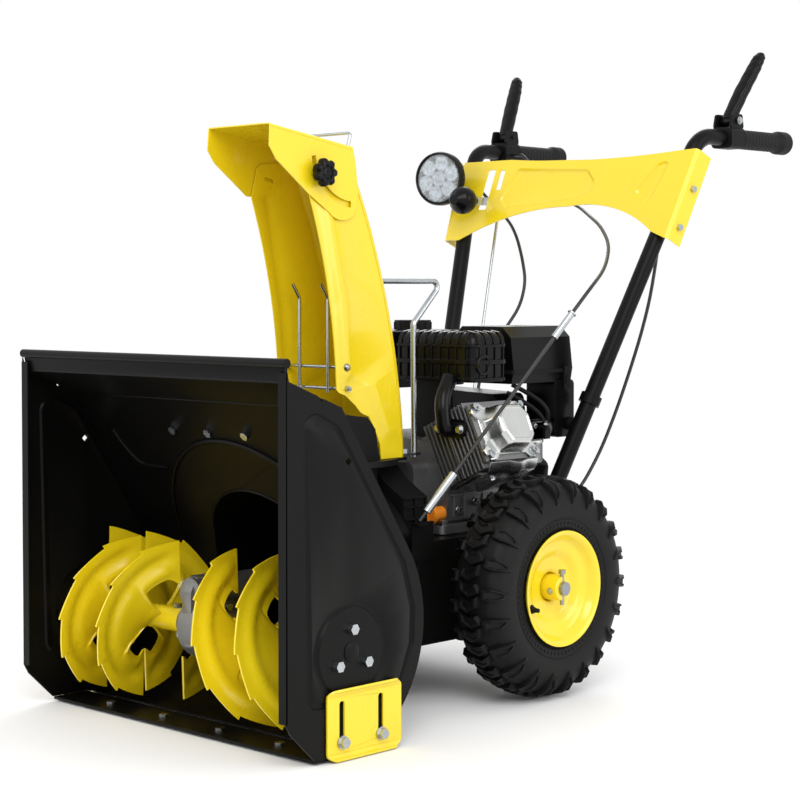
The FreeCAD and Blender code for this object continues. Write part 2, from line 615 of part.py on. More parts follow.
def tyre(side):
    """Block-tread tyre: rounded body with three rows of lugs."""
    low, high = TYRE_MID_X - 43, TYRE_MID_X + 46
    body_r = TYRE_R - 9
    corners = [(low, RIM_R - 6), (high, RIM_R - 6), (high, RIM_R + 0.2), (high + 3, 110), (high, 135),
               (high - 16, body_r), (low + 16, body_r), (low, 135), (low - 3, 110), (low, RIM_R + 0.2)]
    profile = Part.makePolygon([Vector(x, 0, r) for x, r in corners + corners[:1]])
    body = Part.Face(profile).revolve(Vector(0, 0, 0), Vector(1, 0, 0), 360)
    lugs = []
    count = 20
    for i in range(count):
        for row, x in ((0, TYRE_MID_X), (1, TYRE_MID_X - 32), (1, TYRE_MID_X + 34)):
            lug = box((x - 13, x + 13), (-13, 13), (body_r - 12, TYRE_R - 0.5 - 3 * row))
            lug.rotate(Vector(0, 0, 0), Vector(1, 0, 0), 360.0 * (i + 0.5 * row) / count)
            lugs.append(lug)
    tread = joined(body, *lugs)
    limit = rod(TYRE_R, (low - 3, 0, 0), (high + 3, 0, 0))
    hollow = rod(RIM_R - 6, (low - 10, 0, 0), (high - 17, 0, 0))
    whole = tread.common(limit)
    whole.translate(Vector(0, AXLE_Y, AXLE_Z))
    hollow.translate(Vector(0, AXLE_Y, AXLE_Z))
    whole = less(whole, rod(RIM_R + 0.1, (high - 20, AXLE_Y, AXLE_Z), (high + 10, AXLE_Y, AXLE_Z)), hollow,
                 rod(RIM_R + 0.1, (low - 10, AXLE_Y, AXLE_Z), (low + 1.2, AXLE_Y, AXLE_Z)))
    return whole if side > 0 else mirrored(whole)


# ---------------------------------------------------------------- skid shoes
def skid_shoe():
    """Bent plate shoe with two upright slots, its top and bottom edges curled outwards."""
    web = prism("x", (280.3, 284.3), rounded([(-524, 12), (-512, 1), (-400, 1), (-388, 12), (-388, 84),
                                              (-398, 94), (-514, 94), (-524, 84)], 4))
    foot = box((280.3, 292), (-512, -400), (0, 4))
    crest = box((280.3, 290), (-512, -400), (90, 94))
    slots = [prism("x", (275, 290), rect((y - 4.6, y + 4.6), (SKID_SLOT_LOW, SKID_SLOT_TOP), 4.5))
             for y in SKID_BOLT_Y]
    return less(joined(web, foot, crest), *slots)


def skid_nuts():
    parts = []
    for y in SKID_BOLT_Y:
        washer = rod(9, (284.6, y, SKID_BOLT_Z), (286.2, y, SKID_BOLT_Z))
        stud = rod(4.0, (274.0, y, SKID_BOLT_Z), (286.2, y, SKID_BOLT_Z))
        nut = hex_head(13, 6.5, (286.2, y, SKID_BOLT_Z), (1, 0, 0))
        parts.append(joined(washer, stud, nut))
    return Part.makeCompound(parts + [mirrored(part) for part in parts])


# ---------------------------------------------------------------- chute
GUARD_PINS = [(-272.0, 492.0), (-270.0, 461.0)]
SLOT_BOLT = (HOOD_Y - SLOT_R * math.cos(math.radians(SLOT_BOLT_ANGLE)),
             HOOD_Z - SLOT_R * math.sin(math.radians(SLOT_BOLT_ANGLE)))
KNUCKLE_R, HINGE_WIRE_R = 5.5, 2.5
BASE_TOP_Z = FLANGE_TOP_Z + 6.0
HANDLE_X = 45.0


def chute():
    """Folded channel: one sheet bent into a back and two sides, open to the front."""
    front = [(-330, 783), (-343, 737), ((-303, 585), (-290, 460)), (-272, 451), (-242, 423), (-225, 419),
             (-213, 402), (-201, 376), (-199, BASE_TOP_Z), (-147.5, BASE_TOP_Z)]
    outer = prism("x", (-CHUTE_HALF, CHUTE_HALF), [(-147.5, 372), ((-185, 597), (-262, 796))] + front)
    inner_half = CHUTE_HALF - CHUTE_SHEET
    behind = [(-147.5 - CHUTE_SHEET, 340), (-147.5 - CHUTE_SHEET, 372),
              ((-185 - CHUTE_SHEET, 597), (-262 - CHUTE_SHEET, 796)), (-262 - CHUTE_SHEET, 830)]
    inner = prism("x", (-inner_half, inner_half), behind + [(-380, 830), (-380, 340)])
    holes = [rod(2.6, (-80, y, z), (80, y, z)) for y, z in GUARD_PINS]
    holes.append(rod(4.1, (0, *SLOT_BOLT), (80, *SLOT_BOLT)))
    knuckle = rod(KNUCKLE_R, (-20, HOOD_Y, HOOD_Z), (20, HOOD_Y, HOOD_Z))
    tab = box((-20, 20), (HOOD_Y - CHUTE_SHEET, HOOD_Y), (792, HOOD_Z - 3))
    wire_hole = rod(HINGE_WIRE_R + RUNNING_GAP, (-30, HOOD_Y, HOOD_Z), (30, HOOD_Y, HOOD_Z))
    return less(joined(less(outer, inner), knuckle, tab), wire_hole, *holes)


def chute_base():
    """Moulded collar that turns on the duct's flange, with a wall round the front of the chute."""
    plate = rod(FLANGE_R + 4, (0, CHUTE_Y, FLANGE_TOP_Z + 0.4), (0, CHUTE_Y, BASE_TOP_Z))
    shelf = box((-64, 64), (CHUTE_Y, -146), (FLANGE_TOP_Z + 1.4, BASE_TOP_Z))
    skirt = ring(FLANGE_R + 4, FLANGE_R + 0.6, (0, CHUTE_Y, FLANGE_TOP_Z - 3), (0, CHUTE_Y, FLANGE_TOP_Z + 0.4))
    throat = rod(66, (0, CHUTE_Y, 340), (0, CHUTE_Y, 360))
    wall_side = [(-286, BASE_TOP_Z), (-277, 424), (-231, 418), (-215, 400), (-206, BASE_TOP_Z)]
    wall_room = box((-CHUTE_HALF - 0.3, CHUTE_HALF + 0.3), (-274, -150), (350, 440))
    walls = prism("x", (-CHUTE_HALF - 4.3, CHUTE_HALF + 4.3), wall_side).cut(wall_room)
    return less(joined(plate, shelf, skirt, walls), throat)


def chute_guard():
    """Wire guard across the mouth of the chute."""
    bars = [rod(2.5, (-CHUTE_HALF - 1, y, z), (CHUTE_HALF + 1, y, z)) for y, z in GUARD_PINS]
    nuts = [hex_head(8, 5, (side * CHUTE_HALF, y, z), (side, 0, 0))
            for side in (1, -1) for y, z in GUARD_PINS]
    prongs = [bent_rod(2.5, [(x, -276.5, 455), (x, -276.5, 592), (x, -290, 612)], 8) for x in (-30, 30)]
    return joined(*bars, *nuts, *prongs)


def turning_handle():
    """Bent wire handle on a small foot that is bolted to the collar."""
    x = HANDLE_X
    wire = bent_rod(4.5, [(x, -185, 617), (x, -47, 617), (x, -112, 553), (x, -110, 352)], 9)
    plate = box((x - 10, x + 10), (-147.5, -106), (BASE_TOP_Z, BASE_TOP_Z + 4))
    head = hex_head(10, 6, (x, -132, BASE_TOP_Z + 4), (0, 0, 1))
    return joined(wire, plate, head)


def hood_flange(points, x):
    return prism("x", (x, x + CHUTE_SHEET), points)


def deflector():
    """Folding hood hinged at the top of the chute, with a curved slot in one flange."""
    top = [(HOOD_Y, HOOD_Z + KNUCKLE_R), (-420, 833)]
    plate = prism("x", (-HOOD_HALF, HOOD_HALF), top + [(-420, 831), (HOOD_Y, HOOD_Z + KNUCKLE_R - 2)])
    slotted = top + [(-423, 802), (-410, 784), (-349, 739), (-309, 716), (-277, 706), (-258, 712), (-249, 742),
                     (-253, 770)]
    plain = top + [(-423, 802), (-410, 784), (-349, 739), (-325, 738), (-270, 765), (-254, 785)]
    flanges = [hood_flange(slotted, HOOD_HALF - CHUTE_SHEET), hood_flange(plain, -HOOD_HALF)]
    knuckles = [rod(KNUCKLE_R, (x, HOOD_Y, HOOD_Z), (x + 26, HOOD_Y, HOOD_Z)) for x in (-47, 21)]
    middle_room = rod(KNUCKLE_R + 0.8, (-20.6, HOOD_Y, HOOD_Z), (20.6, HOOD_Y, HOOD_Z))
    wire_hole = rod(HINGE_WIRE_R, (-70, HOOD_Y, HOOD_Z), (70, HOOD_Y, HOOD_Z))
    bail_room = [box((x, x + 9), (HOOD_Y - 5, HOOD_Y + 3), (HOOD_Z - 6, HOOD_Z + 10)) for x in (-59, 50)]
    slot = []
    for degrees in range(6, 89, 2):
        turn = math.radians(degrees)
        y, z = HOOD_Y - SLOT_R * math.cos(turn), HOOD_Z - SLOT_R * math.sin(turn)
        slot.append(rod(4.4, (HOOD_HALF - 5, y, z), (HOOD_HALF + 5, y, z)))
    arc = slot[0].multiFuse(slot[1:])
    return less(joined(plate, *flanges, *knuckles), middle_room, wire_hole, arc, *bail_room)


def deflector_bail():
    """Wire loop whose two ends are the hinge pins."""
    ends = []
    for side in (1, -1):
        ends.append((side * 6, HOOD_Y, HOOD_Z))
        ends.append((side * 54.5, HOOD_Y, HOOD_Z))
        ends.append((side * 54.5, HOOD_Y + 8, HOOD_Z + 27))
    points = ends[:3] + ends[:2:-1]
    return bent_rod(HINGE_WIRE_R, points, 6)


def deflector_knob():
    """Seven-lobed hand knob on a stud through the slot."""
    y, z = SLOT_BOLT
    body = rod(17, (HOOD_HALF + 0.6, y, z), (HOOD_HALF + 22, y, z))
    lobes = []
    for i in range(7):
        turn = 2 * math.pi * i / 7
        ly, lz = y + 16 * math.cos(turn), z + 16 * math.sin(turn)
        lobes.append(rod(5, (HOOD_HALF + 6, ly, lz), (HOOD_HALF + 20, ly, lz)))
    stud = rod(4.0, (CHUTE_HALF - 4, y, z), (HOOD_HALF + 1, y, z))
    head = rod(8, (CHUTE_HALF - CHUTE_SHEET - 3.4, y, z), (CHUTE_HALF - CHUTE_SHEET - 0.4, y, z))
    return joined(body, stud, head, *lobes)


# ---------------------------------------------------------------- belt cover and engine
def belt_cover():
    outline = [(-100, BOX_TOP), (-100, 300), (-62, 322), (-40, FLANGE_TOP_Z - 5.5), (40, FLANGE_TOP_Z - 5.5),
               (62, 322), (100, 300), (100, BOX_TOP)]
    outer = prism("y", (-194, -143), outline)
    inner = prism("y", (-191.5, -145.5), [
        (-97.5, BOX_TOP - 5), (-97.5, 298.5), (-60, 319.5), (-39, FLANGE_TOP_Z - 8), (39, FLANGE_TOP_Z - 8),
        (60, 319.5), (97.5, 298.5), (97.5, BOX_TOP - 5)])
    shaft_hole = rod(26, (0, -150, CRANK_Z), (0, -140, CRANK_Z))
    return less(outer, inner, shaft_hole)


def tilted(shape):
    """Turns the cylinder's own frame, +X along the bore, to its place on the crankcase."""
    shape.rotate(Vector(0, 0, 0), Vector(0, 1, 0), -CYLINDER_TILT)
    shape.translate(Vector(0, CYLINDER_Y, CYLINDER_Z))
    return shape


def engine_block():
    case = prism("y", (-92, 60), rounded([
        (-88, 252), (92, 252), (98, 300), (78, 372), (-70, 384), (-92, 350)], 10))
    foot = prism("z", (DECK_Z, DECK_Z + 12), rect((-108, 110), (-118, 60), 10))
    nose = prism("y", (-125, -92), rounded([(-58, 252), (58, 252), (58, 344), (-58, 344)], 12))
    barrel = tilted(box((60, 128), (-40, 40), (-40, 40)))
    fins = [tilted(box((x, x + 3), (-54, 54), (-50, 50))) for x in range(84, 128, 8)]
    shaft_room = rod(8 + RUNNING_GAP, (0, -130, CRANK_Z), (0, -90, CRANK_Z))
    return less(joined(case, foot, nose, barrel, *fins), shaft_room)


def engine_bolts():
    return Part.makeCompound([hex_head(13, 8, (x, y, DECK_Z + 12), (0, 0, 1))
                              for x in (-99, 101) for y in (-106, 40)])


def cylinder_head():
    head = tilted(box((128, 182), (-44, 44), (-44, 44)))
    fins = [tilted(box((x, x + 3), (-57, 57), (-52, 52))) for x in range(130, 172, 8)]
    rim = tilted(box((176, 182), (-56, 56), (-45, 45)))
    return joined(head, rim, *fins)


def valve_cover():
    rim = tilted(prism("x", (182, 187), rect((-58, 58), (-45, 45), 10)))
    dome = tilted(prism("x", (187, 215), rect((-43, 43), (-35, 35), 14)))
    return joined(rim, dome)


def cover_bolts():
    heads = [tilted(hex_head(10, 6, (187, a, b), (1, 0, 0))) for a in (-51, 51) for b in (-38, 38)]
    return Part.makeCompound(heads)


def cylinder_shroud():
    """Polished deflector plate under the cylinder."""
    return tilted(box((100, 160), (-58, 58), (-57, -54.5)))


ELBOW_POINTS = [(118, -103, 398), (118, -122, 398), (112, -122, 440), (104, -96, 472)]


def exhaust_elbow():
    """Pipe from the port on the front of the head up into the muffler."""
    pipe = bent_rod(12, ELBOW_POINTS)
    flange = prism("y", (-107, -103), rect((94, 142), (384, 412), 8))
    return joined(pipe, flange)


def muffler():
    body = prism("z", (472, 532), rect((-8, 138), (-84, -20), 22))
    pipe_room = bent_rod(12, ELBOW_POINTS)
    return less(body, pipe_room)


def muffler_guard():
    outer = prism("z", (466, 543), rect((-20, 150), (-94, -10), 16))
    inner = prism("z", (460, 540), rect((-17.5, 147.5), (-91.5, -12.5), 13.5))
    slots = [box((x, x + 6), (-100, 0), (486, 530)) for x in range(4, 130, 14)]
    slots += [box((x, x + 5), (-80, -24), (535, 550)) for x in range(8, 130, 12)]
    pipe_room = rod(16, (104, -104, 455), (104, -84, 480))
    return less(outer, inner, pipe_room, *slots)


def engine_brackets():
    """Stays that hold the muffler and the tank above the engine."""
    stay = box((0, 60), (-60, -56), (372, 472))
    arm = box((0, 60), (-60, -30), (468, 472))
    tank_feet = [box((x, x + 30), (y, y + 4), (370, 452)) for x, y in ((-75, -80), (-75, 44))]
    return Part.makeCompound([shape.cut(engine_block()) for shape in (joined(stay, arm), *tank_feet)])


def fuel_tank():
    body = prism("z", (452, 540), rect((-180, -24), (-94, 96), 26))
    neck = ring(24, 20, (-62, 0, 538), (-62, 0, 548))
    tank = joined(body, neck)
    fuel_room = prism("z", (456, 536), rect((-176, -28), (-90, 92), 22))
    return less(tank, fuel_room, rod(20, (-62, 0, 530), (-62, 0, 560)))


def fuel_cap():
    skirt = rod(29, (-62, 0, 540.6), (-62, 0, 556))
    room = rod(24.4, (-62, 0, 530), (-62, 0, 548.4))
    ribs = []
    for i in range(12):
        turn = math.radians(30 * i)
        x, y = -62 + 28 * math.cos(turn), 28 * math.sin(turn)
        ribs.append(rod(3, (x, y, 542), (x, y, 553)))
    return less(joined(skirt, *ribs), room)


def air_box():
    top = prism("y", (28, 172), [(2, 459), (120, 459), (124, 480), (118, 530), (100, 547), (18, 547), (2, 532)])
    rear = prism("x", (66, 124), rounded([(128, 372), (176, 372), (176, 462), (128, 462)], 8))
    return joined(top, rear)


def carburettor():
    body = box((100, 134), (62, 98), (372, 400))
    bowl = rod(17, (117, 80, 338), (117, 80, 372))
    duct = rod(15, (104, 98, 386), (104, 128, 386))
    link = rod(15, (104, 12, 386), (104, 62, 386))
    return joined(body, bowl, duct, link).cut(tilted(box((120, 220), (-58, 58), (-56, 56))))


def fan_shroud():
    """Blower housing over the flywheel, with ducting that reaches over the cylinder."""
    housing = prism("y", (60, 128), rounded([(-104, 246), (104, 246), (112, 330), (70, 360), (60, 440),
                                             (-90, 446), (-112, 400)], 12))
    reel_room = rod(56, (0, 122, CRANK_Z + 4), (0, 130, CRANK_Z + 4))
    return less(housing, air_box(), carburettor(), reel_room, rope_room())


ROPE_R = 1.8
STARTER_X, STARTER_Z = -84.0, CRANK_Z + 26


def rope_room():
    """The straight hole that the starter rope runs in."""
    return rod(ROPE_R + 0.3, (STARTER_X, 63, STARTER_Z), (STARTER_X, 155, STARTER_Z))


def recoil_starter():
    """Domed starter cover with a ring of cooling slots."""
    z = CRANK_Z + 4
    base = rod(74, (0, 128, z), (0, 150, z))
    dome = Part.makeCone(74, 48, 14, Vector(0, 150, z), Vector(0, 1, 0))
    slots = []
    for i in range(16):
        slot = box((-2.5, 2.5), (140, 170), (30, 62))
        slot.rotate(Vector(0, 0, 0), Vector(0, 1, 0), 22.5 * i)
        slot.translate(Vector(0, 0, z))
        slots.append(slot)
    outlet = box((-92, -60), (132, 148), (z + 10, z + 34))
    dome_room = Part.makeCone(70, 46, 11, Vector(0, 148, z), Vector(0, 1, 0))
    room = joined(rod(70, (0, 120, z), (0, 148, z)), dome_room)
    return less(joined(base, dome, outlet), room, rope_room(), *slots)


def starter_grip():
    """Bar grip on the end of the starter rope."""
    x, z = STARTER_X, STARTER_Z
    grip_bar = rod(7.5, (x, 160, z - 18), (x, 160, z + 18))
    return joined(grip_bar, rod(ROPE_R, (x, 65, z), (x, 156, z)))


def oil_cap():
    """Filler plug low on the crankcase, with a bar to turn it by."""
    plug = rod(11, (84, -112, 268), (84, -92, 268))
    head = rod(15, (84, -122, 268), (84, -112, 268))
    return joined(plug, head, box((82, 86), (-130, -121), (256, 280)))


def choke_knob():
    return joined(rod(4, (134.3, 80, 391), (150, 80, 391)), box((144, 149), (74, 86), (374, 391)))


# ---------------------------------------------------------------- handlebars and controls
def bar_point(z):
    """Centre of the right-hand handlebar tube at a height, on its straight part."""
    return (BAR_X + BAR_LEAN_X * (z - BAR_Z), BAR_Y + BAR_LEAN_Y * (z - BAR_Z), z)


def handlebar_points():
    corner = bar_point(GRIP_Z)
    return [bar_point(252.0), corner, (corner[0] + 6.0, GRIP_END_Y - 6, GRIP_Z)]


def handlebar():
    return bent_tube(TUBE_R, TUBE_WALL, handlebar_points(), 45)


def handle_brackets():
    """Angle plates on the frame box that the tubes' lower ends are bolted to."""
    low, high = bar_point(252.0), bar_point(320.0)
    base = box((low[0] - 40, low[0] + 14), (low[1] - 22, BOX_BACK), (BOX_TOP, BOX_TOP + 3))
    wall = box((low[0] - 24, low[0] - 18), (low[1] - 22, BOX_BACK), (BOX_TOP, 300))
    solid = joined(base, wall).cut(rod(TUBE_R + 0.05, low, high))
    right = solid.cut(fan_shroud())
    return Part.makeCompound([right, mirrored(right)])


def grip():
    """Segmented rubber grip, wider at its end."""
    corner = bar_point(GRIP_Z)
    lean = 6.0 / (GRIP_END_Y - 6 - corner[1])
    def at(y):
        return (corner[0] + lean * (y - corner[1]), y, GRIP_Z)
    sleeves = [rod(15, at(GRIP_START_Y), at(GRIP_END_Y - 28))]
    sleeves += [rod(16.5, at(y), at(y + 8)) for y in (462, 480, 498, 516, 534, 552)]
    sleeves.append(rod(19.5, at(GRIP_END_Y - 28), at(GRIP_END_Y)))
    return less(joined(*sleeves), rod(TUBE_R, at(GRIP_START_Y - 10), at(GRIP_END_Y - 6)))


def grips():
    right = grip()
    return Part.makeCompound([right, mirrored(right)])


def lever_brackets():
    """Clamp round each tube with two ears for the lever's pivot."""
    x = bar_point(GRIP_Z)[0] + 2.0
    clamp = prism("y", (412, 450), rounded([(x - 20, 834), (x + 20, 834), (x + 20, 868), (x - 20, 868)], 8))
    ears = [prism("x", (a, a + 4), rounded([(412, 866), (450, 866), (446, 890), (418, 890)], 5))
            for a in (x - 17.5, x + 13.5)]
    pin = rod(3, (x - 21, LEVER_Y, LEVER_Z), (x + 21, LEVER_Y, LEVER_Z))
    right = joined(clamp, *ears, pin)
    corner = bar_point(GRIP_Z)
    lean = 6.0 / (GRIP_END_Y - 6 - corner[1])
    tube_room = rod(TUBE_R, (corner[0] + lean * (400 - corner[1]), 400, GRIP_Z),
                    (corner[0] + lean * (460 - corner[1]), 460, GRIP_Z))
    right = less(right, tube_room)
    return Part.makeCompound([right, mirrored(right)])


def clutch_lever():
    """Tapered moulded lever on the pivot pin, leaning outwards towards its tip."""
    x = bar_point(GRIP_Z)[0] + 2.0
    hub = rod(9, (x - 12.8, LEVER_Y, LEVER_Z), (x + 12.8, LEVER_Y, LEVER_Z))
    loops = []
    for y, z, out, half_width, half_depth in ((0, 2, 0, 11, 8), (24, 48, 8, 11, 6.5), (46, 86, 16, 10.5, 5.5),
                                              (56, 105, 20, 8, 4.5), (60, 113, 22, 4, 3)):
        loop = []
        for i, j in ((-1, -1), (1, -1), (1, 1), (-1, 1)):
            across = x + out + i * half_width
            loop.append(Vector(across, LEVER_Y + y + j * half_depth, LEVER_Z + z - j * 0.4 * half_depth))
        loops.append(loop)
    blade = faceted(loops)
    bore = rod(3 + RUNNING_GAP, (x - 30, LEVER_Y, LEVER_Z), (x + 30, LEVER_Y, LEVER_Z))
    return less(joined(hub, blade), bore)


def panel_frame(x, along, out):
    """A point on the panel: across, height up the tubes' slope, and distance in front of them."""
    norm = math.hypot(1.0, BAR_LEAN_Y)
    y = BAR_Y + BAR_LEAN_Y * (along - BAR_Z) - out / norm
    z = along + out * BAR_LEAN_Y / norm
    return Vector(x, y, z)


PANEL_OUTLINE = [(-228, 684), (-203, 684), (-168, 700), (-109, 720), (20, 736), (109, 729), (176, 712),
                 (205, 690), (236, 680), (255, 822), (240, 822), (145, 812), (63, 815), (-130, 822), (-235, 822)]


def panel_prism(points, low, high):
    corners = [panel_frame(x, z, low) for x, z in points]
    face = loop_face(corners)
    return face.extrude(panel_frame(0, 0, high) - panel_frame(0, 0, low))


def control_panel():
    """Pressed sheet bridge between the tubes, with flanges that wrap round them."""
    sheet = panel_prism(PANEL_OUTLINE, PANEL_GAP, PANEL_GAP + 2)
    right_flange = panel_prism([(236, 680), (238, 680), (257, 822), (255, 822)], -22, PANEL_GAP)
    left_flange = panel_prism([(-236, 684), (-228, 684), (-243, 822), (-251, 822)], -22, PANEL_GAP)
    top_flange = panel_prism([(-200, 820), (-130, 820), (63, 813), (145, 810), (145, 812), (63, 815),
                              (-130, 822), (-200, 822)], 0, PANEL_GAP)
    slot = panel_prism([(-177, 736), (-160, 736), (-160, 806), (-177, 806)], PANEL_GAP - 5, PANEL_GAP + 5)
    window = panel_prism([(-145, 745), (-134, 745), (-134, 795), (-145, 795)], PANEL_GAP - 5, PANEL_GAP + 5)
    return less(joined(sheet, right_flange, left_flange, top_flange), slot, window)


# ---------------------------------------------------------------- headlight
LAMP_X, LAMP_Y, LAMP_Z, LAMP_YAW = -240.0, 255.0, 798.0, 12.0
LAMP_PIVOT_BACK = 50.0


def lamp_place(shape):
    """Turns the lamp's own frame, facing -Y with its lens at the origin, to its place."""
    shape.rotate(Vector(0, 0, 0), Vector(0, 0, 1), LAMP_YAW)
    shape.translate(Vector(LAMP_X, LAMP_Y, LAMP_Z))
    return shape


def headlight():
    ring_front = rod(46, (0, -3, 0), (0, 12, 0))
    bowl = Part.makeCone(46, 20, 28, Vector(0, 12, 0), Vector(0, 1, 0))
    ear = box((-4, 4), (38, LAMP_PIVOT_BACK), (-7.5, 7.5))
    ear_end = rod(7.5, (-4, LAMP_PIVOT_BACK, 0), (4, LAMP_PIVOT_BACK, 0))
    room = rod(43.2, (0, -5, 0), (0, 4, 0))
    bolt_hole = rod(3 + RUNNING_GAP, (-10, LAMP_PIVOT_BACK, 0), (10, LAMP_PIVOT_BACK, 0))
    return lamp_place(less(joined(ring_front, bowl, ear, ear_end), room, bolt_hole))


def headlight_lens():
    return lamp_place(rod(43, (0, -1.5, 0), (0, 4, 0)))


def lamp_bracket():
    """Fork behind the lamp, with an arm to the side of the control panel."""
    cheeks = [box((x, x + 3), (45, 62), (-8, 8)) for x in (-7.4, 4.4)]
    back = box((-7.4, 7.4), (58.5, 62), (-8, 8))
    pin = rod(3.0, (-10, LAMP_PIVOT_BACK, 0), (10, LAMP_PIVOT_BACK, 0))
    fork = lamp_place(joined(*cheeks, back, pin))
    arm = box((-258, -244), (309, 342), (788, 808))
    return less(joined(fork, arm), headlight_room(), control_panel(), mirrored(handlebar_solid()))


def headlight_room():
    """The ear's swing between the fork's cheeks."""
    room = box((-4.4, 4.4), (30, 58.5), (-14, 14))
    return lamp_place(room.cut(rod(3.0, (-10, LAMP_PIVOT_BACK, 0), (10, LAMP_PIVOT_BACK, 0))))


def handlebar_solid():
    return bent_rod(TUBE_R, handlebar_points(), 45)


# ---------------------------------------------------------------- shift lever and cables
SHIFT_X, SHIFT_Y, SHIFT_Z = -168.0, 372.0, 757.0
ROD_POINTS = [(-177.0, 338.0, 762.0), (-177.0, 338.0, 728.0), (-100.0, 150.0, 240.0), (-100.0, 150.0, 165.0)]


def shift_lever():
    bar = box((SHIFT_X - 2, SHIFT_X + 2), (262, SHIFT_Y), (SHIFT_Z - 7, SHIFT_Z + 7))
    hub = rod(10, (SHIFT_X - 4, SHIFT_Y, SHIFT_Z), (SHIFT_X + 4, SHIFT_Y, SHIFT_Z))
    bore = rod(4 + RUNNING_GAP, (SHIFT_X - 9, SHIFT_Y, SHIFT_Z), (SHIFT_X + 9, SHIFT_Y, SHIFT_Z))
    return less(joined(bar, hub), bore)


def shift_knob():
    """Bulb knob pressed on the end of the lever."""
    profile = [(216, 0), (216, 10), ((222, 21), (236, 24)), ((250, 22), (262, 12)), (266, 10), (266, 0)]
    face = Part.Face(Part.Wire(outline_edges("z", 0, profile + profile[:1])))
    knob = face.revolve(Vector(0, 0, 0), Vector(1, 0, 0), 360)
    knob.rotate(Vector(0, 0, 0), Vector(0, 0, 1), 90)
    knob.translate(Vector(SHIFT_X, 0, SHIFT_Z))
    return knob.cut(shift_lever())


def shift_bracket():
    """Stay behind the panel that holds the lever's pivot pin, and the rod's guide on the frame."""
    pin = rod(4, (SHIFT_X - 4.4, SHIFT_Y, SHIFT_Z), (SHIFT_X + 10, SHIFT_Y, SHIFT_Z))
    cheek = prism("x", (SHIFT_X + 4.4, SHIFT_X + 7.4), [
        (SHIFT_Y + 12, SHIFT_Z + 12), (SHIFT_Y + 12, SHIFT_Z - 12), (310, 746), (310, 770)])
    panel_front = [(-260, 600), (260, 600), (260, 900), (-260, 900)]
    cheek = cheek.cut(panel_prism(panel_front, PANEL_GAP, PANEL_GAP + 60))
    stay = joined(pin, cheek)
    rod_hole = rod(2.5 + RUNNING_GAP, (-100, 150, 180), (-100, 150, 210))
    guide = less(box((-112, -88), (BOX_BACK, 162), (196, 199)), rod_hole)
    anchor = box((98, 122), (BOX_BACK, 160), (226, 229))
    return [stay, guide, anchor]


def shift_rod():
    return bent_rod(2.5, ROD_POINTS, 12)


# routes of the cables; each point is a corner that a large arc cuts inside
AUGER_CABLE = [(-219.6, 430, 846), (-196, 430, 846), (-170, 420, 826), (-138, 398, 798), (-92, 372, 773),
               (-40, 350, 757), (16, 322, 744), (68, 284, 726), (128, 238, 706), (186, 186, 674),
               (229, 119, 636), (257, 43, 603), (145, -205, 271)]
DRIVE_CABLE = [(219.6, 430, 846), (197, 430, 846), (181, 420, 824), (175, 396, 792), (176, 362, 760),
               (184, 332, 728), (191, 310, 690), (191, 299, 640), (186, 291, 586), (174, 284, 530),
               (160, 274, 473),
               (146, 258, 410), (132, 235, 345), (120, 202, 290), (112, 163, 262), (110, 150, 244),
               (110, 150, 229)]
LAMP_LEAD = [(-254.5, 342, 798), (-254.5, 360, 798), (-246, 380, 776), (-206, 378, 744), (-168, 362, 722),
             (-130, 336, 695), (-98, 312, 658), (-80, 300, 618), (-84, 290, 576), (-98, 266, 536),
             (-98, 226, 500), (-84, 188, 462), (-66, 158, 424), (-60, 144, 410), (-60, 128, 410)]
CABLE_R, LEAD_R = 2.75, 2.75


def cable(radius, points, name):
    path, radii = bent_path(points)
    print(name, "length", round(path.Length), "arc radii", [round(r) for r in radii])
    tube = bent_rod(radius, points)
    expected = math.pi * radius ** 2 * path.Length
    print(name, "volume ratio", round(tube.Volume / expected, 4))
    return tube


def control_cables():
    return Part.makeCompound([cable(CABLE_R, AUGER_CABLE, "auger cable"),
                              cable(CABLE_R, DRIVE_CABLE, "drive cable")])


def along(start, end, share):
    return tuple(a + (b - a) * share for a, b in zip(start, end))


def cable_fittings():
    """Adjuster and rubber boot on the straight stretch of the auger cable."""
    top, low = AUGER_CABLE[-2], AUGER_CABLE[-1]
    adjuster = ring(5.0, CABLE_R, along(top, low, 0.105), along(top, low, 0.21))
    nut = ring(7.0, CABLE_R, along(top, low, 0.10), along(top, low, 0.105))
    boot = ring(6.5, CABLE_R, along(top, low, 0.80), along(top, low, 0.96))
    return [adjuster.fuse(nut).removeSplitter(), boot]


def cable_clamp():
    low, high = bar_point(424), bar_point(438)
    return ring(TUBE_R + 4, TUBE_R, low, high)


def cable_tab():
    """Tab on the frame's front corner where the auger cable ends."""
    plate = box((BOX_HALF, BOX_HALF + 3), (-215, -170), (212, 268))
    tab = box((BOX_HALF, BOX_HALF + 16), (-215, -196), (265, 268))
    return joined(plate, tab).cut(rod(CABLE_R, AUGER_CABLE[-2], AUGER_CABLE[-1]))


# ---------------------------------------------------------------- node groups and export
def group(*shapes):
    return Part.makeCompound([solid for shape in shapes for solid in shape.Solids])


def both_sides(shape):
    return group(shape, mirrored(shape))


def panel_bolts():
    """Two bolts on each side flange of the panel, square to the flange."""
    out = panel_frame(0, 0, 1) - panel_frame(0, 0, 0)
    heads = []
    for side, low, high in ((1, (238, 680), (257, 822)), (-1, (-236, 684), (-251, 822))):
        slope = panel_frame(*high, 0) - panel_frame(*low, 0)
        normal = slope.cross(out).normalize() * side
        for share in (0.17, 0.6):
            x, height = along(low, high, share)
            heads.append(hex_head(10, 5, panel_frame(x, height, -4), normal))
    return heads


def bearings():
    return group(auger_bearings(), impeller_bearing(), axle_bearings())


def fasteners():
    return group(housing_bolts(), gearbox_bolts(), engine_bolts(), cover_bolts(), skid_nuts(), *panel_bolts(),
                 *cable_fittings())


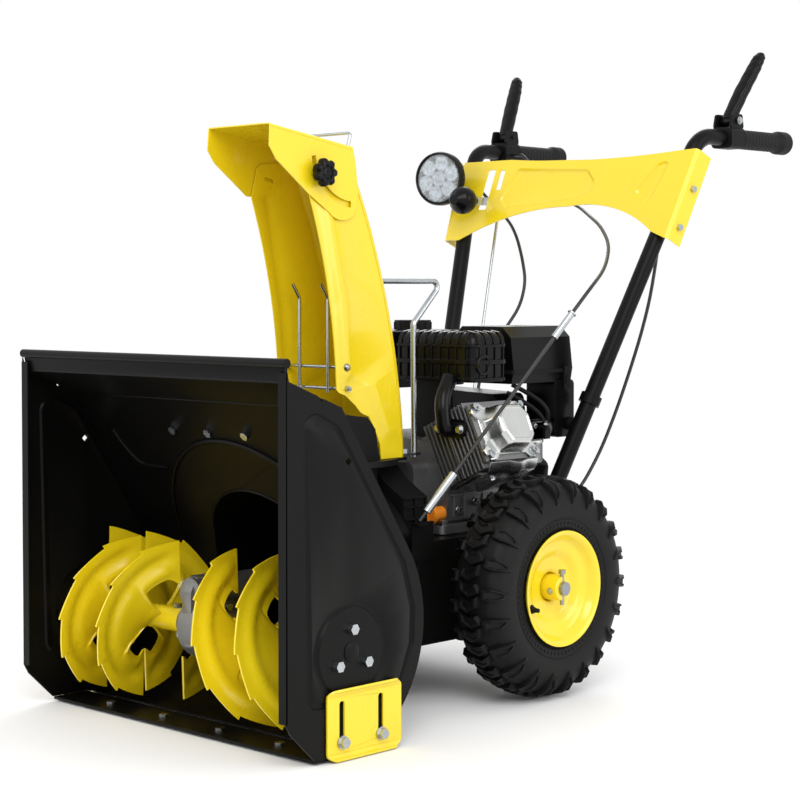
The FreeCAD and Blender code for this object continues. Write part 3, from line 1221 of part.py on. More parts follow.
def brackets():
    return group(engine_brackets(), handle_brackets(), disc_bracket(), lamp_bracket(), cable_tab(),
                 cable_clamp(), *shift_bracket())


def main():
    pulley_shaft = group(impeller_shaft(), pulley(IMPELLER_PULLEY_R, SHAFT_R, BELT_Y[0], IMPELLER_Z))
    disc_group = group(friction_disc(), pulley(DISC_PULLEY_R, 8.0, BELT_Y[1], AXLE_Z))
    nodes = {
        "housing_shell": housing_shell(),
        "side_plates": both_sides(side_plate()),
        "scraper_bar": scraper_bar(),
        "bearings": bearings(),
        "fasteners": fasteners(),
        "augers": both_sides(auger()),
        "auger_shaft": group(auger_shaft(), worm_wheel(), shear_bolts()),
        "gearbox_housing": gearbox_housing(),
        "impeller_shaft": pulley_shaft,
        "impeller": impeller(),
        "impeller_drum": impeller_drum(),
        "engine_pulley": engine_pulley(),
        "drive_belts": drive_belts(),
        "frame_box": frame_box(),
        "frame_cover": frame_cover(),
        "brackets": brackets(),
        "axle": group(axle(), axle_gear(), hub_pins()),
        "drive_shaft": drive_shaft(),
        "friction_wheel": friction_wheel(),
        "friction_disc": disc_group,
        "rims": both_sides(rim(1)),
        "tyres": both_sides(tyre(1)),
        "skid_shoe_right": skid_shoe(),
        "skid_shoe_left": mirrored(skid_shoe()),
        "chute": chute(),
        "chute_base": chute_base(),
        "chute_guard": chute_guard(),
        "turning_handle": turning_handle(),
        "deflector": deflector(),
        "deflector_bail": deflector_bail(),
        "deflector_knob": deflector_knob(),
        "belt_cover": belt_cover(),
        "engine_block": engine_block(),
        "cylinder_head": cylinder_head(),
        "valve_cover": valve_cover(),
        "cylinder_shroud": cylinder_shroud(),
        "muffler": group(muffler(), exhaust_elbow()),
        "muffler_guard": muffler_guard(),
        "fuel_tank": fuel_tank(),
        "fuel_cap": fuel_cap(),
        "air_box": air_box(),
        "carburettor": carburettor(),
        "fan_shroud": fan_shroud(),
        "recoil_starter": recoil_starter(),
        "starter_grip": starter_grip(),
        "oil_cap": oil_cap(),
        "choke_knob": choke_knob(),
        "handlebars": both_sides(handlebar()),
        "grips": grips(),
        "lever_brackets": lever_brackets(),
        "clutch_lever_right": clutch_lever(),
        "clutch_lever_left": mirrored(clutch_lever()),
        "control_panel": control_panel(),
        "headlight": headlight(),
        "headlight_lens": headlight_lens(),
        "shift_lever": shift_lever(),
        "shift_knob": shift_knob(),
        "shift_rod": shift_rod(),
        "control_cables": control_cables(),
        "headlight_lead": cable(LEAD_R, LAMP_LEAD,
        "headlight lead"),
    }
    for name, shape in nodes.items():
        write(name, shape)
    print(len(nodes), "nodes written")


main()
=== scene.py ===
"""Looks of the two stage snowblower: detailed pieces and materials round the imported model.

Lengths are written in millimetres and turned into metres when a mesh is made.
+Z is up, the auger housing faces -Y, and the side with the cylinder head is +X.
"""

import json
import math

import bmesh
import bpy
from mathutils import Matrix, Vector
from mathutils.geometry import delaunay_2d_cdt


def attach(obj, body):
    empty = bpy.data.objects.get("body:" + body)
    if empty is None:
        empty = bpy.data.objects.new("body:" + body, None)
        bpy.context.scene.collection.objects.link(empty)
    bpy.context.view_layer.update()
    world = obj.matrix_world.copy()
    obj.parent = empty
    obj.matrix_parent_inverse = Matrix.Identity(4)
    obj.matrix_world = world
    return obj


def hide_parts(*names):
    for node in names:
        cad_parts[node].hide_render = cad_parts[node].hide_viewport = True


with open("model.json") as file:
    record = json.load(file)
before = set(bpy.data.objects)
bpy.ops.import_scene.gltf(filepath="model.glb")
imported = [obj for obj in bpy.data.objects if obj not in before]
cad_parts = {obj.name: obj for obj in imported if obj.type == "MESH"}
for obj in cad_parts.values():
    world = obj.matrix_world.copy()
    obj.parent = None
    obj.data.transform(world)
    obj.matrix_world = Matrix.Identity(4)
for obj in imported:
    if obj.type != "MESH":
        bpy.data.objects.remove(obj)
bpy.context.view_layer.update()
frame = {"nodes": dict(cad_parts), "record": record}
NODES = frame["nodes"]
MM = 0.001

# places on the machine that several pieces share
AUGER_Y, AUGER_Z = -477.5, 137.0
AUGER_R, TUBE_IN_FLIGHT_R = 119.0, 15.0
HOUSING_HALF, PLATE = 280.0, 3.0
WHEEL_Y, WHEEL_Z, WHEEL_X = -18.0, 165.0, 214.0
CHUTE_HALF = 62.0
HOOD_Y, HOOD_Z, HOOD_HALF = -262.0, 803.0, 66.0
KNOB_Y, KNOB_Z = -330.7, 768.2
CYLINDER_Y, CYLINDER_Z, CYLINDER_TILT = -46.0, 315.0, math.radians(25.5)
LAMP_AT, LAMP_YAW = (-240.0, 255.0, 798.0), math.radians(12.0)
SHIFT_X, SHIFT_Z = -168.0, 757.0
BAR_Y, BAR_Z, BAR_LEAN_Y = 312.0, 760.0, 0.4125
PANEL_GAP = 15.0
GRIP_X, GRIP_LEAN, GRIP_Z = 237.65, 0.0251, 851.0
LEVER_X, LEVER_Y, LEVER_Z = 239.65, 432.0, 879.0


# ---------------------------------------------------------------- camera, light and stage
def make_camera():
    """Three quarter view from the front right, low down."""
    camera = bpy.data.objects.new("camera", bpy.data.cameras.new("camera"))
    bpy.context.scene.collection.objects.link(camera)
    azimuth, elevation = math.radians(44.14), math.radians(2.07)
    back = Vector((math.sin(azimuth) * math.cos(elevation), -math.cos(azimuth) * math.cos(elevation),
                   math.sin(elevation)))
    camera.rotation_mode = "QUATERNION"
    camera.rotation_quaternion = (-back).to_track_quat("-Z", "Y")
    camera.location = (2.0001, -2.186, 0.6015)
    camera.data.lens = 85.2
    camera.data.sensor_width = 36.0
    camera.data.shift_x = 0.0176
    camera.data.shift_y = -0.0504
    camera.data.clip_end = 50.0
    bpy.context.scene.camera = camera


def area_light(name, place, aim, size, watts):
    light = bpy.data.lights.new(name, "AREA")
    light.shape = "RECTANGLE"
    light.size, light.size_y = size
    light.energy = watts
    lamp = bpy.data.objects.new(name, light)
    lamp.location = place
    lamp.rotation_mode = "QUATERNION"
    lamp.rotation_quaternion = (Vector(aim) - Vector(place)).to_track_quat("-Z", "Y")
    bpy.context.scene.collection.objects.link(lamp)


def make_light():
    world = bpy.data.worlds.new("studio")
    bpy.context.scene.world = world
    world.use_nodes = True
    sky = world.node_tree.nodes["Background"]
    sky.inputs["Color"].default_value = (1.0, 1.0, 1.0, 1.0)
    sky.inputs["Strength"].default_value = 1.0
    bpy.context.scene.view_settings.view_transform = "Standard"
    centre = (0.0, -0.1, 0.45)
    area_light("key", (2.6, -2.4, 3.0), centre, (2.4, 2.4), 76)
    area_light("front", (-1.4, -3.4, 1.7), centre, (2.6, 1.8), 26)
    area_light("side", (3.6, 1.0, 1.4), centre, (2.0, 2.2), 34)
    area_light("rim", (-2.4, 2.8, 2.6), centre, (2.2, 2.2), 40)


def make_floor(material):
    mesh = bpy.data.meshes.new("floor")
    half = 14.0
    mesh.from_pydata([(-half, -half, 0), (half, -half, 0), (half, half, 0), (-half, half, 0)], [], [(0, 1, 2,
                                                            3)])
    floor = bpy.data.objects.new("floor", mesh)
    floor.location.z = -0.001
    bpy.context.scene.collection.objects.link(floor)
    mesh.materials.append(material)


# ---------------------------------------------------------------- materials
def surface(name, colour, roughness, metallic=0.0, mottle=0.04, mottle_size=60.0, grain=0.0, grain_size=1.0,
            spread=0.08, coat=0.0, specular=0.5):
    """Principled surface with soft colour variation, uneven gloss and a fine bump; sizes in mm."""
    material = bpy.data.materials.new(name)
    material.use_nodes = True
    tree = material.node_tree
    shader = tree.nodes["Principled BSDF"]
    shader.inputs["Metallic"].default_value = metallic
    shader.inputs["Coat Weight"].default_value = coat
    shader.inputs["Coat Roughness"].default_value = 0.08
    shader.inputs["Specular IOR Level"].default_value = specular
    place = tree.nodes.new("ShaderNodeTexCoord")
    source = place.outputs["Object"]
    broad = tree.nodes.new("ShaderNodeTexNoise")
    broad.inputs["Scale"].default_value = 1.0 / (mottle_size * MM)
    broad.inputs["Detail"].default_value = 4.0
    tree.links.new(source, broad.inputs["Vector"])
    tint = tree.nodes.new("ShaderNodeMix")
    tint.data_type = "RGBA"
    tint.inputs[6].default_value = (*[c * (1 - mottle) for c in colour], 1.0)
    tint.inputs[7].default_value = (*[min(1.0, c * (1 + mottle)) for c in colour], 1.0)
    tree.links.new(broad.outputs["Fac"], tint.inputs[0])
    tree.links.new(tint.outputs[2], shader.inputs["Base Color"])
    gloss = tree.nodes.new("ShaderNodeMapRange")
    gloss.inputs["To Min"].default_value = max(0.02, roughness - spread)
    gloss.inputs["To Max"].default_value = roughness + spread
    tree.links.new(broad.outputs["Fac"], gloss.inputs["Value"])
    tree.links.new(gloss.outputs["Result"], shader.inputs["Roughness"])
    if grain:
        fine = tree.nodes.new("ShaderNodeTexNoise")
        fine.inputs["Scale"].default_value = 1.0 / (grain_size * MM)
        fine.inputs["Detail"].default_value = 2.0
        tree.links.new(source, fine.inputs["Vector"])
        bump = tree.nodes.new("ShaderNodeBump")
        bump.inputs["Strength"].default_value = grain
        bump.inputs["Distance"].default_value = 0.2 * grain_size * MM
        tree.links.new(fine.outputs["Fac"], bump.inputs["Height"])
        tree.links.new(bump.outputs["Normal"], shader.inputs["Normal"])
    return material


def clear_lens(name):
    material = surface(name, (0.9, 0.93, 0.95), 0.06, mottle=0.02, spread=0.03)
    shader = material.node_tree.nodes["Principled BSDF"]
    shader.inputs["Transmission Weight"].default_value = 0.9
    shader.inputs["IOR"].default_value = 1.46
    return material


def pale_floor(name):
    """Pale studio floor that runs out into even white within two metres."""
    material = bpy.data.materials.new(name)
    material.use_nodes = True
    nodes, links = material.node_tree.nodes, material.node_tree.links
    shader = nodes["Principled BSDF"]
    shader.inputs["Base Color"].default_value = (0.9, 0.9, 0.9, 1.0)
    shader.inputs["Roughness"].default_value = 0.75
    shader.inputs["Specular IOR Level"].default_value = 0.1
    place = nodes.new("ShaderNodeTexCoord")
    length = nodes.new("ShaderNodeVectorMath")
    length.operation = "LENGTH"
    links.new(place.outputs["Object"], length.inputs[0])
    fade = nodes.new("ShaderNodeMapRange")
    fade.interpolation_type = "SMOOTHSTEP"
    fade.inputs["From Min"].default_value = 0.7
    fade.inputs["From Max"].default_value = 1.9
    links.new(length.outputs["Value"], fade.inputs["Value"])
    white = nodes.new("ShaderNodeEmission")
    white.inputs["Color"].default_value = (1.0, 1.0, 1.0, 1.0)
    blend = nodes.new("ShaderNodeMixShader")
    links.new(fade.outputs["Result"], blend.inputs["Fac"])
    links.new(shader.outputs["BSDF"], blend.inputs[1])
    links.new(white.outputs["Emission"], blend.inputs[2])
    links.new(blend.outputs["Shader"], nodes["Material Output"].inputs["Surface"])
    return material


def make_materials():
    return {
        "yellow_paint": surface("yellow_paint", (0.80, 0.60, 0.008), 0.28, mottle=0.03, grain=0.12,
                                grain_size=2.5,
                                spread=0.05, coat=0.5),
        "black_paint": surface("black_paint", (0.0036, 0.0035, 0.0034), 0.36, mottle=0.15, grain=0.35,
                               grain_size=1.2,
                               spread=0.06, specular=0.12),
        "black_gloss": surface("black_gloss", (0.003, 0.003, 0.0032), 0.22, mottle=0.2, grain=0.06,
                               grain_size=3.0,
                               spread=0.06, specular=0.16),
        "black_matte": surface("black_matte", (0.006, 0.006, 0.0062), 0.48, mottle=0.2, grain=0.4,
                               grain_size=0.8,
                               specular=0.12),
        "zinc": surface("zinc", (0.46, 0.485, 0.50), 0.27, metallic=1.0, mottle=0.12, mottle_size=14,
                        spread=0.1,
                        grain=0.1, grain_size=2.0),
        "steel": surface("steel", (0.34, 0.345, 0.35), 0.33, metallic=1.0, mottle=0.12, mottle_size=10,
                         grain=0.15,
                         grain_size=0.7),
        "cast_aluminium": surface("cast_aluminium", (0.21, 0.21, 0.215), 0.46, metallic=0.85, mottle=0.15,
                                  mottle_size=22, grain=0.5, grain_size=1.4),
        "bright_aluminium": surface("bright_aluminium", (0.60, 0.61, 0.60), 0.26, metallic=1.0, mottle=0.05,
                                    mottle_size=30, spread=0.07, grain=0.05, grain_size=2.0),
        "grip_rubber": surface("grip_rubber", (0.009, 0.009, 0.0095), 0.55, mottle=0.2, grain=0.4,
                               grain_size=0.9,
                               specular=0.15),
        "cable_sheath": surface("cable_sheath", (0.010, 0.010, 0.011), 0.38, mottle=0.2, grain=0.2,
                                grain_size=1.5),
        "belt_rubber": surface("belt_rubber", (0.022, 0.021, 0.020), 0.72, mottle=0.25, grain=0.6,
                               grain_size=0.8),
        "tyre": surface("tyre", (0.0055, 0.0055, 0.0055), 0.50, mottle=0.35, mottle_size=25, grain=0.4,
                        grain_size=1.0, spread=0.1, specular=0.16),
        "orange_plastic": surface("orange_plastic", (0.85, 0.26, 0.012), 0.34, mottle=0.06, grain=0.1,
                                  grain_size=1.2),
        "lens": clear_lens("lens"),
        "floor": pale_floor("floor"),
    }


MATERIALS = make_materials()
SLOT_OF_NODE = {part["node"]: part["material_slot"] for part in frame["record"]["subparts"]}
BODY_OF_NODE = {node: body for body,
                members in frame["record"]["behaviour"]["bodies"].items() for node in members}
make_camera()
make_light()
make_floor(MATERIALS["floor"])


# ---------------------------------------------------------------- shells: (points, faces) in millimetres
def combine(*shells):
    points, faces = [], []
    for shell_points, shell_faces in shells:
        start = len(points)
        points += [Vector(p) for p in shell_points]
        faces += [tuple(start + i for i in face) for face in shell_faces]
    return points, faces


def mirrored(shell):
    points, faces = shell
    return [Vector((-p[0], p[1], p[2])) for p in points], [tuple(reversed(face)) for face in faces]


def both_sides(shell):
    return combine(shell, mirrored(shell))


def placed(shell, move):
    """The same shell with a function applied to each point."""
    return [Vector(move(Vector(p))) for p in shell[0]], list(shell[1])


def on_axis(axis, along, a, b):
    return {"x": Vector((along, a, b)), "y": Vector((a, along, b)), "z": Vector((a, b, along))}[axis]


def ring_points(radius, count, start=0.0):
    return [(radius * math.cos(start + 2 * math.pi * i / count),
             radius * math.sin(start + 2 * math.pi * i / count))
            for i in range(count)]


def loft(loops, closed=False, caps=True):
    """Skin through loops of equal length; closed joins the last loop to the first."""
    count = len(loops[0])
    points = [Vector(p) for loop in loops for p in loop]
    faces = []
    pairs = len(loops) if closed else len(loops) - 1
    for i in range(pairs):
        here, there = i * count, ((i + 1) % len(loops)) * count
        for j in range(count):
            k = (j + 1) % count
            faces.append((here + j, here + k, there + k, there + j))
    if caps and not closed:
        faces.append(tuple(reversed(range(count))))
        faces.append(tuple(range(len(points) - count, len(points))))
    return points, faces


def lathe(axis, centre, profile, count=48, closed=False):
    """Profile of (place on the axis, radius) turned about it; centre is the other two coordinates."""
    loops = []
    for along, radius in profile:
        loops.append([on_axis(axis, along, centre[0] + a, centre[1] + b)
                      for a, b in ring_points(max(radius, 0.01), count)])
    return loft(loops, closed=closed, caps=not closed)


def prism(axis, span, outline):
    return loft([[on_axis(axis, along, a, b) for a, b in outline] for along in span])


def block(x, y, z):
    return prism("z", z, [(x[0], y[0]), (x[1], y[0]), (x[1], y[1]), (x[0], y[1])])


def tube(path, radius, count=14):
    """Round bar along points that are close together."""
    path = [Vector(p) for p in path]
    side = None
    loops = []
    for i, here in enumerate(path):
        ahead = (path[min(i + 1, len(path) - 1)] - path[max(i - 1, 0)]).normalized()
        if side is None:
            side = ahead.cross(Vector((0.3, 0.2, 1))).normalized()
        side = (side - ahead * side.dot(ahead)).normalized()
        up = ahead.cross(side)
        thick = radius[i] if isinstance(radius, list) else radius
        loops.append([here + side * a + up * b for a, b in ring_points(thick, count)])
    return loft(loops)


def sheet(rows, thickness):
    """Grid of points thickened evenly to both sides."""
    high, wide = len(rows), len(rows[0])
    rows = [[Vector(p) for p in row] for row in rows]
    front, back = [], []
    for i in range(high):
        for j in range(wide):
            down = rows[min(i + 1, high - 1)][j] - rows[max(i - 1, 0)][j]
            across = rows[i][min(j + 1, wide - 1)] - rows[i][max(j - 1, 0)]
            normal = down.cross(across)
            normal = normal.normalized() if normal.length > 1e-9 else Vector((1, 0, 0))
            front.append(rows[i][j] + normal * thickness / 2)
            back.append(rows[i][j] - normal * thickness / 2)
    points = front + back
    half = high * wide
    faces = []
    for i in range(high - 1):
        for j in range(wide - 1):
            a, b, c, d = i * wide + j, i * wide + j + 1, (i + 1) * wide + j + 1, (i + 1) * wide + j
            faces.append((a, b, c, d))
            faces.append((half + d, half + c, half + b, half + a))
    rim = [i * wide for i in range(high)] + [(high - 1) * wide + j for j in range(1, wide)]
    rim += [i * wide + wide - 1 for i in range(high - 2, -1, -1)] + [j for j in range(wide - 2, 0, -1)]
    for a, b in zip(rim, rim[1:] + rim[:1]):
        faces.append((a, half + a, half + b, b))
    return points, faces


def inside(point, loop):
    """Whether a flat point lies inside a closed loop."""
    x, y = point
    result = False
    for (x1, y1), (x2, y2) in zip(loop, loop[1:] + loop[:1]):
        if (y1 > y) != (y2 > y) and x < (x2 - x1) * (y - y1) / (y2 - y1) + x1:
            result = not result
    return result


def pressed(outline, steps, holes, to_space, thickness):
    """Stamped sheet: a flat outline with nested loops, each (points, height), and holes cut through."""
    loops = [(outline, 0.0)] + list(steps) + [(hole, None) for hole in holes]
    flat, heights, edges, rims = [], [], [], []
    for loop, height in loops:
        start = len(flat)
        flat += [Vector(p) for p in loop]
        edges += [(start + i, start + (i + 1) % len(loop)) for i in range(len(loop))]
        if height is None or loop is outline:
            rims.append([start + i for i in range(len(loop))])
        level = height
        if height is None:
            level = 0.0
            for other, other_height in steps:
                if inside(loop[0], other):
                    level = other_height
        heights += [level] * len(loop)
    made, _, triangles, origin, _, _ = delaunay_2d_cdt(flat, edges, [], 0, 1e-6)
    height_of = [heights[source[0]] if source else 0.0 for source in origin]
    new_index = {old: i for i, source in enumerate(origin) for old in source}
    keep = []
    for triangle in triangles:
        middle = sum((made[i] for i in triangle), Vector((0, 0))) / 3
        if inside(middle, outline) and not any(inside(middle, hole) for hole in holes):
            keep.append(tuple(triangle))
    top = [to_space(p.x, p.y, h) for p, h in zip(made, height_of)]
    low = [to_space(p.x, p.y, h - thickness) for p, h in zip(made, height_of)]
    count = len(made)
    faces = keep + [tuple(count + i for i in reversed(face)) for face in keep]
    for rim in rims:
        ids = [new_index[i] for i in rim]
        faces += [(a, b, count + b, count + a) for a, b in zip(ids, ids[1:] + ids[:1])]
    return top + low, faces


def arc(start, middle, end, steps=10):
    """Points on the circle through three flat points, without the first."""
    (ax, ay), (bx, by), (cx, cy) = start, middle, end
    twice = 2 * (ax * (by - cy) + bx * (cy - ay) + cx * (ay - by))
    sa, sb, sc = ax * ax + ay * ay, bx * bx + by * by, cx * cx + cy * cy
    ux = (sa * (by - cy) + sb * (cy - ay) + sc * (ay - by)) / twice
    uy = (sa * (cx - bx) + sb * (ax - cx) + sc * (bx - ax)) / twice
    first, mid, last = [math.atan2(y - uy, x - ux) for x, y in (start, middle, end)]
    turn = (last - first) % (2 * math.pi)
    if (mid - first) % (2 * math.pi) > turn:
        turn -= 2 * math.pi
    radius = math.hypot(ax - ux, ay - uy)
    return [(ux + radius * math.cos(first + turn * i / steps),
             uy + radius * math.sin(first + turn * i / steps))
            for i in range(1, steps + 1)]


def rounded(corners, radius, steps=5):
    """Closed outline with every corner turned into an arc; radius is one number or one for each corner."""
    result = []
    count = len(corners)
    for i, corner in enumerate(corners):
        here = Vector(corner)
        back = (Vector(corners[i - 1]) - here)
        on = (Vector(corners[(i + 1) % count]) - here)
        size = radius[i] if isinstance(radius, (list, tuple)) else radius
        half = back.angle(on) / 2
        reach = min(size / math.tan(half), 0.48 * min(back.length, on.length))
        size = reach * math.tan(half)
        back.normalize()
        on.normalize()
        if reach < 0.01 or half > 1.56:
            result.append(tuple(here))
            continue
        start, end = here + back * reach, here + on * reach
        middle = here + (back + on).normalized() * (size / math.sin(half) - size)
        result.append(tuple(start))
        result += arc(tuple(start), tuple(middle), tuple(end), steps)
    return result


def inset(loop, distance):
    """A closed loop moved inwards."""
    area = sum(a[0] * b[1] - b[0] * a[1] for a, b in zip(loop, loop[1:] + loop[:1]))
    sign = 1 if area > 0 else -1
    result = []
    for i, point in enumerate(loop):
        before = Vector(point) - Vector(loop[i - 1])
        after = Vector(loop[(i + 1) % len(loop)]) - Vector(point)
        n1 = Vector((-before.y, before.x)).normalized()
        n2 = Vector((-after.y, after.x)).normalized()
        normal = n1 + n2
        normal = normal / max(0.35, normal.length_squared / 2)
        result.append((point[0] + sign * normal.x * distance, point[1] + sign * normal.y * distance))
    return result


def smooth_step(value):
    value = min(1.0, max(0.0, value))
    return value * value * (3 - 2 * value)


def bell(value):
    return smooth_step(1.0 - abs(value))


# ---------------------------------------------------------------- pieces
def dress(piece, material, bevel, angle):
    piece.data.materials.clear()
    piece.data.materials.append(MATERIALS[material])
    for polygon in piece.data.polygons:
        polygon.use_smooth = True
    piece.data.set_sharp_from_angle(angle=math.radians(angle))
    if bevel:
        soften = piece.modifiers.new("edges", "BEVEL")
        soften.width = bevel * MM
        soften.segments = 2
        soften.limit_method = "ANGLE"
        soften.angle_limit = math.radians(38)
        soften.harden_normals = True


def add_piece(name, shell, material, body, replaces=(), bevel=0.0, angle=34.0):
    """Makes a shell into a piece that rides on a body."""
    mesh = bpy.data.meshes.new(name)
    mesh.from_pydata([tuple(Vector(p) * MM) for p in shell[0]], [], shell[1])
    work = bmesh.new()
    work.from_mesh(mesh)
    bmesh.ops.remove_doubles(work, verts=work.verts, dist=0.01 * MM)
    bmesh.ops.recalc_face_normals(work, faces=work.faces)
    work.to_mesh(mesh)
    work.free()
    piece = bpy.data.objects.new(name, mesh)
    bpy.context.scene.collection.objects.link(piece)
    dress(piece, material, bevel, angle)
    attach(piece, body)
    if replaces:
        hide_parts(*replaces)
    return piece


def refine(node, bevel=0.5, material=None):
    """Stands for a CAD node with its own shape, flat faces joined and edges softened."""
    mesh = NODES[node].data.copy()
    work = bmesh.new()
    work.from_mesh(mesh)
    bmesh.ops.remove_doubles(work, verts=work.verts, dist=0.003 * MM)
    bmesh.ops.dissolve_limit(work, angle_limit=math.radians(0.5), verts=work.verts, edges=work.edges)
    bmesh.ops.recalc_face_normals(work, faces=work.faces)
    work.to_mesh(mesh)
    work.free()
    piece = bpy.data.objects.new(node + "_look", mesh)
    bpy.context.scene.collection.objects.link(piece)
    material = material or SLOT_OF_NODE[node]
    dress(piece, material, bevel, 32.0)
    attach(piece, BODY_OF_NODE[node])
    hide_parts(node)
    return piece


def hex_bolt(across, height, base, direction, washer=0.0):
    """Hexagon head with a chamfered top and, if asked, a flange under it."""
    normal = Vector(direction).normalized()
    side = normal.cross(Vector((0.1, 0.2, 1))).normalized()
    up = normal.cross(side)
    radius = across / math.sqrt(3)
    loops = []
    for rise, share in ((0, 1.0), (0.82 * height, 1.0), (height, 0.86)):
        loops.append([Vector(base) + normal * rise + side * a * share + up * b * share
                      for a, b in ring_points(radius, 6)])
    head = loft(loops)
    if not washer:
        return head
    flange = loft([[Vector(base) + normal * rise + side * a + up * b for a, b in ring_points(r, 24)]
                   for rise, r in ((0, washer), (1.0, washer), (1.5, washer - 0.6))])
    return combine(head, flange)


# ---------------------------------------------------------------- auger housing
def side_outline():
    points = [(-591.0, 506.0), (-586.0, 489.0), (-536.5, 469.6), (-530.0, 461.5), (-526.0, 465.5),
              (-494.0, 453.0), (-369.0, 259.5)]
    points += arc((-369.0, 259.5), (-341.0, 161.0), (-444.0, 6.0), 26)
    points += [(-542.0, 6.0), (-584.5, 46.5), (-592.0, 60.0)]
    return points


def side_plates():
    """Stamped plates: a pressed field inside a plain border, and a round boss at the auger bearing."""
    field = rounded([(-564, 439), (-539, 450), (-498, 430), (-375, 243), (-357, 182), (-359, 133), (-385, 70),
                     (-556, 70)], 20, 6)
    boss = ring_points(68, 48)
    steps = [(field, 0.0), (inset(field, 2.5), -2.6), (inset(field, 7.5), -2.6), (inset(field, 10.5), -0.6)]
    steps += [([(AUGER_Y + a * r / 68, AUGER_Z + b * r / 68) for a, b in boss], h)
              for r, h in ((68, -0.6), (65, -2.6), (60, -2.6), (57, 0.0))]
    holes = [[(-482.0, 378.0), (-476.5, 383.5), (-482.0, 389.0), (-487.5, 383.5)]]
    plate = pressed(side_outline(), steps, holes, lambda y, z, h: Vector((HOUSING_HALF + h, y, z)), PLATE)
    lip = prism("z", (60, 500), [(HOUSING_HALF - 14, -592.0), (HOUSING_HALF, -592.0), (HOUSING_HALF, -589.5),
                                 (HOUSING_HALF - 14, -589.5)])
    cap = lathe("x", (AUGER_Y, AUGER_Z), [(HOUSING_HALF - 2, 13), (HOUSING_HALF + 1, 13),
                                          (HOUSING_HALF + 2.2, 10),
                                          (HOUSING_HALF + 2.6, 4)], 32)
    add_piece("side_plates_pressed", both_sides(combine(plate, lip, cap)), "black_paint", "chassis",
              ("side_plates",), bevel=0.5)


def skid_shoe(side):
    """Plate with two upright slots, its upper and lower edges curled outwards."""
    slots = [rounded([(y - 4.6, 19.5), (y + 4.6, 19.5), (y + 4.6, 77), (y - 4.6, 77)], 4.4,
                     5) for y in (-498, -427)]
    middle = pressed([(-524, 10), (-388, 10), (-388, 84), (-524, 84)], [], slots,
                     lambda y, z, h: Vector((284.0 + h, y, z)), 3.4)
    curls = []
    for edge, way in ((10, -1), (84, 1)):
        rows = []
        for i in range(9):
            turn = math.radians(10 * i)
            drop = 16.0 * (1 - math.cos(turn)) ** 0.8
            rows.append([(282.3 + 8.0 * (1 - math.cos(turn)), -524 + drop + (136 - 2 * drop) * j / 12,
                          edge + way * 8.0 * math.sin(turn)) for j in range(13)])
        curls.append(sheet(rows, 3.4))
    shoe = combine(middle, *curls)
    name = "right" if side > 0 else "left"
    add_piece("skid_shoe_" + name + "_bent", shoe if side > 0 else mirrored(shoe), "yellow_paint",
              "skid_" + name,
              ("skid_shoe_" + name,), bevel=0.7, angle=40)


def cover_ribs():
    """Stiffening frame on the sides of the belt cover."""
    ribs = [block((99.5, 103.5), (-193.5, -144), (z, z + 3)) for z in (246, 266, 284, 297)]
    ribs += [block((99.5, 103.5), (y, y + 3), (246, 299)) for y in (-193.5, -170, -147)]
    add_piece("cover_ribs", both_sides(combine(*ribs)), "black_matte", "chassis", bevel=0.5)


def wall_y(z):
    """Inside face of the housing's back wall at a height."""
    if z > 259.5:
        return -369.0 - (z - 259.5) * 125.0 / 193.5 - 3.0
    return -515.0 + math.sqrt(max(1.0, 174.0 ** 2 - (z - 165.0) ** 2)) - 1.5


def housing_details():
    """Pressed ring round the impeller's opening, a small pressed corner and the seam of the wrapper."""
    ring_path = []
    for i in range(57):
        turn = math.radians(-12 + 204 * i / 56)
        x, z = 208 * math.cos(turn), 185 + 208 * math.sin(turn)
        ring_path.append((x, wall_y(z), z))
    corner = [(-236, 398), (-232, 380), (-224, 362), (-214, 350), (-200, 345), (-150, 344)]
    corner_path = [(x, wall_y(z) + 0.5, z) for x, z in corner]
    seam = [(x, wall_y(452) - 0.3, 451) for x in (-270, -90, 90, 270)]
    rim = [(135.5 * math.cos(t), wall_y(185 + 135.5 * math.sin(t)) + 0.2, 185 + 135.5 * math.sin(t))
           for t in (2 * math.pi * i / 72 for i in range(73))]
    ribs = combine(tube(ring_path, 4.0), tube(corner_path, 3.2), tube(seam, 1.6), tube(rim, 2.2))
    add_piece("housing_ribs", ribs, "black_paint", "chassis")


# ---------------------------------------------------------------- augers
def flight_edge(angle):
    """Outer radius: six shallow edges that each step down to the next."""
    facet = 29.333
    index = min(5, int((angle - 2.0) / facet))
    share = (angle - 2.0 - index * facet) / facet
    return AUGER_R - 5.5 + 5.2 * share - 2.0 * math.sin(math.pi * share)


def flight_inner(angle):
    """Inner radius: a ribbon at both ends and one broad web that reaches the tube."""
    web = smooth_step((angle - 47) / 15) * smooth_step((133 - angle) / 15)
    flare = 10.0 * bell((angle - 2) / 16) + 10.0 * bell((angle - 178) / 16)
    return 62.0 - flare - (62.0 - TUBE_IN_FLIGHT_R) * web


def flight(start_x, start_angle):
    facet = 29.333
    angles = []
    for index in range(6):
        angles += [2.0 + facet * (index + k / 10.0) for k in range(10)] + [2.0 + facet * (index + 0.998)]
    rows = []
    for angle in angles:
        inner, outer = flight_inner(angle), flight_edge(angle)
        ends = smooth_step((angle - 2) / 18) * smooth_step((178 - angle) / 18)
        turn = math.radians(start_angle + angle)
        row = []
        for k in range(19):
            radius = inner + (outer - inner) * k / 18
            press = 5.0 * ends * bell((radius - 90) / 15) - 3.0 * bell((radius - inner - 9) / 9) * ends
            x = start_x + 85.0 * angle / 180 + press
            row.append((x, AUGER_Y - radius * math.sin(turn), AUGER_Z + radius * math.cos(turn)))
        rows.append(row)
    return sheet(rows, 2.8)


